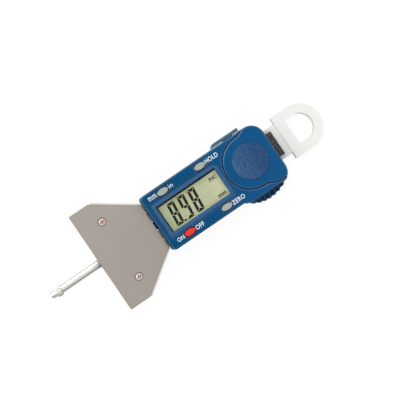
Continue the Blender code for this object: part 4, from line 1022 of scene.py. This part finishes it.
@dataclass
class KnurledContact:
    """The contact point at the rod's end: a knurled collar, then a taper to a small flat tip.

    Attributes:
        tip: where its flat end is, in millimetres from the measuring face, as are shoulder and back.
        shoulder: where the taper meets the collar.
        back: where the collar ends.
        height: its axis over the floor, in millimetres, as are all lengths below.
        collar: radius of the collar.
        taper_wide: radius of the taper at the shoulder.
        taper_thin: radius of the taper at the tip.
        edge: how wide its edges are broken.
        face_lean: how far the collar's front face leans.
        starts: grooves round the collar, each way.
        pitch: distance of the grooves along the axis.
        knurl: depth of the grooves.
        round_steps: points round it.
        length_steps: steps along the collar.
    """

    tip: float = -28.9
    shoulder: float = -25.9
    back: float = -23.0
    height: float = 3.6
    collar: float = 2.75
    taper_wide: float = 2.0
    taper_thin: float = 1.5
    edge: float = 0.2
    face_lean: float = 0.01
    starts: int = 20
    pitch: float = 0.74
    knurl: float = 0.22
    round_steps: int = 160
    length_steps: int = 32

    def radius(self, x: float, turn: float) -> float:
        """Gives the collar's radius where two sets of crossing grooves cut it.

        Args:
            x: place along the axis, in millimetres.
            turn: place round the axis, as a share of a whole turn.

        Returns:
            The radius in millimetres.
        """
        along = (x - self.shoulder) / self.pitch
        depths = [abs(2 * ((self.starts * turn + way * along) % 1.0) - 1) for way in (0.5, -0.5)]
        end = min(x - self.shoulder, self.back - x)
        return self.collar - self.knurl * (1 - min(depths)) - max(0.0, self.edge - end)

    def build(self) -> None:
        """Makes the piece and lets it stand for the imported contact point."""
        count, length = self.round_steps, self.back - self.shoulder
        turns = [step / count for step in range(count)]
        rings = [
            (self.tip, [0.0] * count),
            (self.tip, [self.taper_thin - self.edge] * count),
            (self.tip + self.edge, [self.taper_thin] * count),
            (self.shoulder - self.face_lean, [self.taper_wide] * count),
        ]
        for step in range(self.length_steps + 1):
            x = self.shoulder + length * step / self.length_steps
            rings.append((x, [self.radius(x, turn) for turn in turns]))
        rings.append((self.back, [0.0] * count))
        points = [
            at(x, out * math.cos(turn * math.tau), self.height + out * math.sin(turn * math.tau))
            for x, radii in rings
            for turn, out in zip(turns, radii)
        ]
        faces: list[list[int]] = []
        for ring in range(len(rings) - 1):
            faces += band(ring * count, (ring + 1) * count, count)
        piece = add_piece("knurled_contact", points, faces, KNURL_STEEL, "slider")
        weld(piece)
        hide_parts("contact_point")


@dataclass
class Slider:
    """Everything that slides: rod, beam with its scale, and the pull ring; edges in millimetres."""

    rod_edge: float = 0.1
    beam_edge: float = 0.15
    ring_edge: float = 0.35
    strip_edge: float = 0.05

    def build(self) -> None:
        """Dresses the slider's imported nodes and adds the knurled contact."""
        dress(ROD_STEEL, ["measuring_rod"], self.rod_edge)
        KnurledContact().build()
        dress(ROD_STEEL, ["rod_block", "block_pin_1", "block_pin_2"], self.rod_edge)
        dress(RING_ABS, ["beam"], self.beam_edge)
        dress(RING_ABS, ["pull_ring"], self.ring_edge)
        dress(SCALE_SHEET, ["scale_strip"], self.strip_edge)
        dress(ZINC_SCREW, ["ring_screw_1", "ring_screw_2"], SHARP)


@dataclass
class Housing:
    """The moulded shells, the display's frame and the words printed beside the keys; sizes in millimetres.

    Attributes:
        shell_edge, bezel_edge, screw_edge: how wide the edges of these are rounded.
        film: thickness of the ink.
        row: the words' line above the display.
        low_row: the words' line below it.
        tall: height of the long words.
        small: height of the short words.
    """

    shell_edge: float = 0.2
    bezel_edge: float = 0.15
    screw_edge: float = 0.05
    film: float = 0.03
    row: float = 12.35
    low_row: float = -12.25
    tall: float = 2.3
    small: float = 2.05

    def words(self) -> list[Words]:
        """Lists what is printed on the deck.

        Returns:
            The words, in the order in which they are printed.
        """
        return [
            Words("word_mm", "mm", (39.3, self.row), (4.4, self.small), weight=-0.002),
            Words("word_in", "in", (50.0, self.row), (2.2, self.small), weight=0.0),
            Words("word_hold", "HOLD", (74.5, self.row), (7.3, self.tall)),
            Words("word_on", "ON", (39.7, self.low_row), (3.9, self.small)),
            Words("word_off", "OFF", (51.1, self.low_row), (4.85, self.tall)),
            Words("word_zero", "ZERO", (74.25, self.low_row), (7.2, self.tall)),
        ]

    def build(self) -> None:
        """Dresses the shells and prints the words."""
        dress(HOUSING_ABS, ["front_housing", "rear_housing"], self.shell_edge)
        dress(BEZEL_ABS, ["display_bezel"], self.bezel_edge)
        dress(ZINC_SCREW, [f"housing_screw_{number}" for number in range(1, 5)], self.screw_edge)
        dress(SPRING, ["gib_strip"], SHARP)
        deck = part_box("front_housing")[1].z / MM
        for words in self.words():
            words.print_on(deck, self.film, WHITE_INK, "gauge_body", "light_plastic")


@dataclass
class Display:
    """The display under its lens: glass, reading, holder and connectors; sizes in millimetres.

    Attributes:
        holder_edge: how wide the holder's edges are rounded.
        film: thickness of what the glass shows.
        first_foot: middle of the first digit's foot, along the gauge.
        foot_line: line on which the digits stand.
        pitch: distance of the digits.
        point: middle of the decimal point.
        point_radius: its radius.
        point_steps: corners of its outline.
        sign_lean: how far the small signs lean.
        sign_weight: how bold they are.
        mask_and_shadow_low, mask_and_shadow_high: outer corners of the black frame, drawn as if printed
        round the clear field.
        clear_low, clear_high: corners of the clear field in it, set so that the frame shows only on the top
            and
        left sides, where it is a painted shadow of the bezel's wall.
    """

    holder_edge: float = 0.05
    film: float = 0.02
    first_foot: float = 43.95
    foot_line: float = -6.6
    pitch: float = 6.09
    point: Point = (46.95, -6.1)
    point_radius: float = 0.6
    point_steps: int = 16
    sign_lean: float = 0.1
    sign_weight: float = 0.03
    mask_and_shadow_low: Point = (37.7, -7.9)
    clear_low: Point = (38.8, -7.6)
    clear_high: Point = (72.75, 6.45)
    mask_and_shadow_high: Point = (73.1, 7.9)

    def reading(self) -> list[Loop]:
        """Draws the reading, 8.98.

        Returns:
            The outlines of its bars and of its point, in millimetres.
        """
        eight = sum(segment.value for segment in Segment)
        nine = eight - Segment.LOW_LEFT.value
        loops: list[Loop] = []
        for index, bars in enumerate((eight, nine, eight)):
            loops += Digit((self.first_foot + index * self.pitch, self.foot_line), bars).outlines()
        x, y = self.point
        return loops + [[(x + dx, y + dy) for dx, dy in circle(self.point_radius, self.point_steps)]]

    def mask_and_painted_shadow(self) -> list[Loop]:
        """Draws a black frame round the display's clear field, as if printed there; where it shows, on the
        top and left sides, it is a painted shadow of the bezel's wall.

        Returns:
            The outlines of its four bars, in millimetres.
        """
        (left, low), (right, high) = self.mask_and_shadow_low, self.mask_and_shadow_high
        (start, foot), (end, top) = self.clear_low, self.clear_high
        bars = [
            ((left, low), (start, high)),
            ((end, low), (right, high)),
            ((start, low), (end, foot)),
            ((start, top), (end, high)),
        ]
        return [[(x0, y0), (x1, y0), (x1, y1), (x0, y1)] for (x0, y0), (x1, y1) in bars]

    def signs(self) -> list[Words]:
        """Lists the small signs on the glass.

        Returns:
            The signs, in the order in which they are made.
        """
        return [
            Words("sign_inc", "INC", (69.6, 3.7), (4.2, 2.0), self.sign_lean, self.sign_weight),
            Words("sign_mm", "mm", (69.2, -5.8), (4.4, 1.7), self.sign_lean, self.sign_weight),
        ]

    def build(self) -> None:
        """Dresses the display's nodes and draws what the glass shows."""
        dress(LENS_ACRYLIC, ["display_lens"], SHARP)
        dress(LCD_GLASS, ["lcd_glass"], SHARP)
        dress(HOLDER_ACETAL, ["lcd_holder"], self.holder_edge)
        dress(ZEBRA, ["zebra_strip_1", "zebra_strip_2"], SHARP)
        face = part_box("lcd_glass")[1].z / MM
        # Where the black frame shows, it is a painted shadow of the bezel's wall, in the reading's dark
        # colour.
        for name, loops in (("reading_segments", self.reading()), ("display_mask_and_painted_shadow", self.mask_and_painted_shadow())):
            points, faces = plates(loops, face, face + self.film)
            add_piece(name, points, faces, LCD_SEGMENT, "gauge_body")
        for sign in self.signs():
            sign.print_on(face, self.film, LCD_SEGMENT, "gauge_body", "scale_black")


@dataclass
class Electronics:
    """The board and what it carries, with the cell and its springs; edges in millimetres."""

    resin_edge: float = 0.1
    ceramic_edge: float = 0.05
    can_edge: float = 0.1

    def build(self) -> None:
        """Dresses the nodes inside the housing."""
        dress(BOARD, ["main_board"], SHARP)
        dress(RESIN, ["controller_chip"], self.resin_edge)
        dress(CERAMIC, ["board_capacitor_1", "board_capacitor_2"], self.ceramic_edge)
        dress(CELL_CAN, ["watch_crystal", "battery"], self.can_edge)
        dress(SPRING, [f"snap_dome_{number}" for number in range(1, 5)], SHARP)
        dress(SPRING, ["battery_contact_negative", "battery_contact_positive"], SHARP)
        dress(ZINC_SCREW, [f"board_screw_{number}" for number in range(1, 5)], SHARP)
        dress(GOLD, [f"port_contact_{number}" for number in range(1, 5)], SHARP)


@dataclass
class Covers:
    """The battery cover with its etched grip, and the data port's ribbed cover; sizes in millimetres.

    Attributes:
        cover_edge, port_edge: how wide the edges of these are rounded.
        grip_middle: middle of the grip.
        grip_radius: its radius.
        grip_sunk: how far its foot reaches into the cover.
        grip_rise: height of its highest bumps. Real ones are lower and too fine to show.
        pebble: width of its bumps, drawn as coarse as they need to show.
        pebble_share: how much the bumps lift it.
        fine_share: how much finer bumps lift it.
        fine_times: how many times finer those are.
        fine_layer: the layer of the noise that they are cut from.
        steps: faces of its grid along one side.
    """

    cover_edge: float = 0.2
    port_edge: float = 0.08
    grip_middle: Point = (90.0, 0.0)
    grip_radius: float = 9.25
    grip_sunk: float = 0.2
    grip_rise: float = 0.4
    pebble: float = 0.5
    pebble_share: float = 0.9
    fine_share: float = 0.4
    fine_times: float = 2.1
    fine_layer: float = 7.0
    steps: int = 132

    def spread(self, across: float, up: float) -> Point:
        """Spreads an even square grid over the round grip, so that no ring or spoke shows in it.

        Args:
            across: place in the square, from -1 to 1.
            up: place in the square, from -1 to 1.

        Returns:
            The place on the gauge, in millimetres.
        """
        reach, turn = (across, up) if abs(across) >= abs(up) else (up, across)
        angle = math.pi / 4 * turn / reach if reach else 0.0
        long, short = self.grip_radius * reach * math.cos(angle), self.grip_radius * reach * math.sin(angle)
        x, y = self.grip_middle
        return (x + long, y + short) if abs(across) >= abs(up) else (x + short, y + long)

    def relief(self, x: float, y: float) -> float:
        """Gives the height of the etched grip over the cover's top.

        Args:
            x: place along the gauge, in millimetres.
            y: place across it.

        Returns:
            The height in millimetres.
        """
        along, across = x / self.pebble, y / self.pebble
        bump = noise.noise(Vector((along, across, 0.0)))
        fine = noise.noise(Vector((along * self.fine_times, across * self.fine_times, self.fine_layer)))
        return self.grip_rise * min(1.0, max(0.0, 0.5 + self.pebble_share * bump + self.fine_share * fine))

    def build_grip(self) -> None:
        """Makes the grip as a closed body: its relief, its rim and a foot inside the cover."""
        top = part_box("battery_cover")[1].z / MM
        steps, wide = self.steps, self.steps + 1
        points = []
        for row in range(wide):
            for column in range(wide):
                x, y = self.spread(2 * column / steps - 1, 2 * row / steps - 1)
                inner = 0 < row < steps and 0 < column < steps
                points.append(at(x, y, top + (self.relief(x, y) if inner else 0.0)))
        corners = [row * wide + column for row in range(steps) for column in range(steps)]
        faces = [[corner, corner + 1, corner + wide + 1, corner + wide] for corner in corners]
        rim = list(range(steps))
        rim += [row * wide + steps for row in range(steps)]
        rim += [steps * wide + column for column in range(steps, 0, -1)]
        rim += [row * wide for row in range(steps, 0, -1)]
        foot, count = len(points), len(rim)
        points += [Vector((points[index].x, points[index].y, (top - self.grip_sunk) * MM)) for index in rim]
        faces += [[rim[i], foot + i, foot + (i + 1) % count, rim[(i + 1) % count]] for i in range(count)]
        faces.append([foot + i for i in reversed(range(count))])
        add_piece("cover_grip", points, faces, GRIP_ABS_PAINTED_SHEEN, "battery_cover", smooth=True)

    def build(self) -> None:
        """Dresses both covers and adds the grip."""
        dress(HOUSING_ABS, ["battery_cover"], self.cover_edge)
        dress(PORT_ABS, ["port_cover"], self.port_edge)
        self.build_grip()


@dataclass
class Keys:
    """The four keys."""

    edge_mm: float = 0.25

    def build(self) -> None:
        """Dresses the keys."""
        dress(GREY_KEY, ["button_mm_in", "button_hold", "button_zero"], self.edge_mm)
        dress(RED_KEY, ["button_power"], self.edge_mm)


@dataclass
class Studio:
    """Floor, light and camera; lengths in metres.

    Attributes:
        look_back: the way from the gauge to the camera.
        gauge_turn: how far the gauge is turned in the picture, in degrees.
        middle: the point looked at, in millimetres.
        distance: from there to the camera.
        picture_wide: width of the picture at that distance.
        sensor: width of the camera's sensor, in millimetres.
        clip: nearest and farthest point that the camera sees.
        floor_reach: half the floor's width.
        floor_height: the floor, a hair under the gauge.
        floor_shade: colour that the floor shows with its shadows.
        floor_glow: white that the camera sees added to it.
        floor_mirrored: share of that white that polished faces mirror.
        bright_way: the way to the window.
        dark_span: how far from the window the walls go from dark to bright, from -1 across to 1 at it.
        window_span: the same for the window's own light.
        room_dark: brightness of the wall across from the window.
        room_bright: brightness of the other walls.
        window_bright: what the window adds.
        key_watts: power of the lamp.
        key_place: where it hangs.
        key_wide: its width.
    """

    look_back: tuple[float, float, float] = (-0.088, 0.022, 1.0)
    gauge_turn: float = 34.3
    middle: tuple[float, float, float] = (58.75, -1.96, 7.9)
    distance: float = 1.2
    picture_wide: float = 0.1987
    sensor: float = 36.0
    clip: Point = (0.01, 50.0)
    floor_reach: float = 12.0
    floor_height: float = -0.00005
    floor_shade: float = 0.15
    floor_glow: float = 0.9
    floor_mirrored: float = 0.6
    bright_way: tuple[float, float, float] = (-0.42, 0.87, 0.25)
    dark_span: Point = (-0.92, -0.35)
    window_span: Point = (0.72, 1.0)
    room_dark: float = 0.05
    room_bright: float = 0.78
    window_bright: float = 2.7
    key_watts: float = 2.7
    key_place: tuple[float, float, float] = (-0.30, 0.40, 0.95)
    key_wide: float = 0.5

    def camera(self) -> None:
        """Sets the camera at the picture's angle."""
        data = bpy.data.cameras.new("camera")
        data.sensor_width = self.sensor
        data.lens = self.sensor * self.distance / self.picture_wide
        data.clip_start, data.clip_end = self.clip
        camera = bpy.data.objects.new("camera", data)
        bpy.context.scene.collection.objects.link(camera)
        back = Vector(self.look_back).normalized()
        axis = Vector((1.0, 0.0, 0.0))
        along = (axis - back * axis.dot(back)).normalized()
        turned = math.radians(self.gauge_turn)
        right = along * math.cos(turned) - back.cross(along) * math.sin(turned)
        turn = Matrix((right, back.cross(right), back)).transposed().to_4x4()
        camera.matrix_world = Matrix.Translation(at(*self.middle) + back * self.distance) @ turn
        bpy.context.scene.camera = camera

    def floor(self) -> None:
        """Lays a plain pale floor that keeps the gauge's shadow."""
        low, high, level = -self.floor_reach, self.floor_reach, self.floor_height
        corners = [(low, low, level), (high, low, level), (high, high, level), (low, high, level)]
        mesh = bpy.data.meshes.new("floor")
        mesh.from_pydata(corners, [], [(0, 1, 2, 3)])
        floor = bpy.data.objects.new("floor", mesh)
        bpy.context.scene.collection.objects.link(floor)
        mesh.materials.append(self.floor_paper())

    def floor_paper(self) -> bpy.types.Material:
        """Makes the floor's paper: matt, and white wherever the camera or a mirror sees it without a shadow.

        Returns:
            The material.
        """
        paper = bpy.data.materials.new("floor_paper_white")
        paper.use_nodes = True
        tree = paper.node_tree
        tree.nodes.clear()
        path = add_node(tree, "ShaderNodeLightPath")
        plain = add_node(
            tree,
            "ShaderNodeMath",
            {0: path.outputs["Is Camera Ray"], 1: path.outputs["Is Transmission Ray"]},
            operation="MAXIMUM",
        )
        mirrored = add_node(
            tree,
            "ShaderNodeMath",
            {0: path.outputs["Is Glossy Ray"], 1: self.floor_mirrored},
            operation="MULTIPLY",
        )
        shown = add_node(
            tree, "ShaderNodeMath", {0: plain.outputs[0], 1: mirrored.outputs[0]}, operation="MAXIMUM"
        )
        glow = add_node(
            tree, "ShaderNodeMath", {0: shown.outputs[0], 1: self.floor_glow}, operation="MULTIPLY"
        )
        shade = self.floor_shade
        matt = add_node(tree, "ShaderNodeBsdfDiffuse", {"Color": (shade, shade, shade, 1.0)})
        light = add_node(tree, "ShaderNodeEmission", {"Strength": glow.outputs[0]})
        both = add_node(tree, "ShaderNodeAddShader", {0: matt.outputs[0], 1: light.outputs[0]})
        add_node(tree, "ShaderNodeOutputMaterial", {"Surface": both.outputs[0]})
        return paper

    def room(self) -> None:
        """Makes a room that is bright on the window's side and dark across from it."""
        world = bpy.data.worlds.new("room")
        bpy.context.scene.world = world
        world.use_nodes = True
        tree = world.node_tree
        tree.nodes.clear()
        way = add_node(tree, "ShaderNodeTexCoord")
        near = add_node(
            tree,
            "ShaderNodeVectorMath",
            {0: way.outputs["Generated"], 1: Vector(self.bright_way).normalized()},
            operation="DOT_PRODUCT",
        )
        walls = add_node(
            tree,
            "ShaderNodeMapRange",
            {
                "Value": near.outputs["Value"],
                "From Min": self.dark_span[0],
                "From Max": self.dark_span[1],
                "To Min": self.room_dark,
                "To Max": self.room_bright,
            },
            interpolation_type="SMOOTHSTEP",
        )
        window = add_node(
            tree,
            "ShaderNodeMapRange",
            {
                "Value": near.outputs["Value"],
                "From Min": self.window_span[0],
                "From Max": self.window_span[1],
                "To Max": self.window_bright,
            },
        )
        level = add_node(
            tree, "ShaderNodeMath", {0: walls.outputs[0], 1: window.outputs[0]}, operation="ADD"
        )
        sky = add_node(
            tree, "ShaderNodeBackground", {"Color": (1.0, 1.0, 1.0, 1.0), "Strength": level.outputs[0]}
        )
        add_node(tree, "ShaderNodeOutputWorld", {"Surface": sky.outputs[0]})

    def lamp(self) -> None:
        """Hangs one soft lamp that looks at the gauge."""
        data = bpy.data.lights.new("key", "AREA")
        data.energy = self.key_watts
        data.size = self.key_wide
        lamp = bpy.data.objects.new("key", data)
        bpy.context.scene.collection.objects.link(lamp)
        place = Vector(self.key_place)
        lamp.location = place
        lamp.rotation_mode = "QUATERNION"
        lamp.rotation_quaternion = (-place).to_track_quat("-Z", "Y")

    def build(self) -> None:
        """Sets floor, light and camera, and keeps the colours as they are written."""
        self.floor()
        self.room()
        self.lamp()
        self.camera()
        bpy.context.scene.view_settings.view_transform = "Standard"


def main() -> None:
    """Builds every part of the scene in order."""
    logging.basicConfig(level=logging.INFO, format="%(message)s")
    for part in (Studio(), MeasuringBase(), Slider(), Housing(), Display(), Electronics(), Covers(), Keys()):
        LOG.info("building %s", type(part).__name__)
        part.build()


if __name__ == "__main__":
    main()
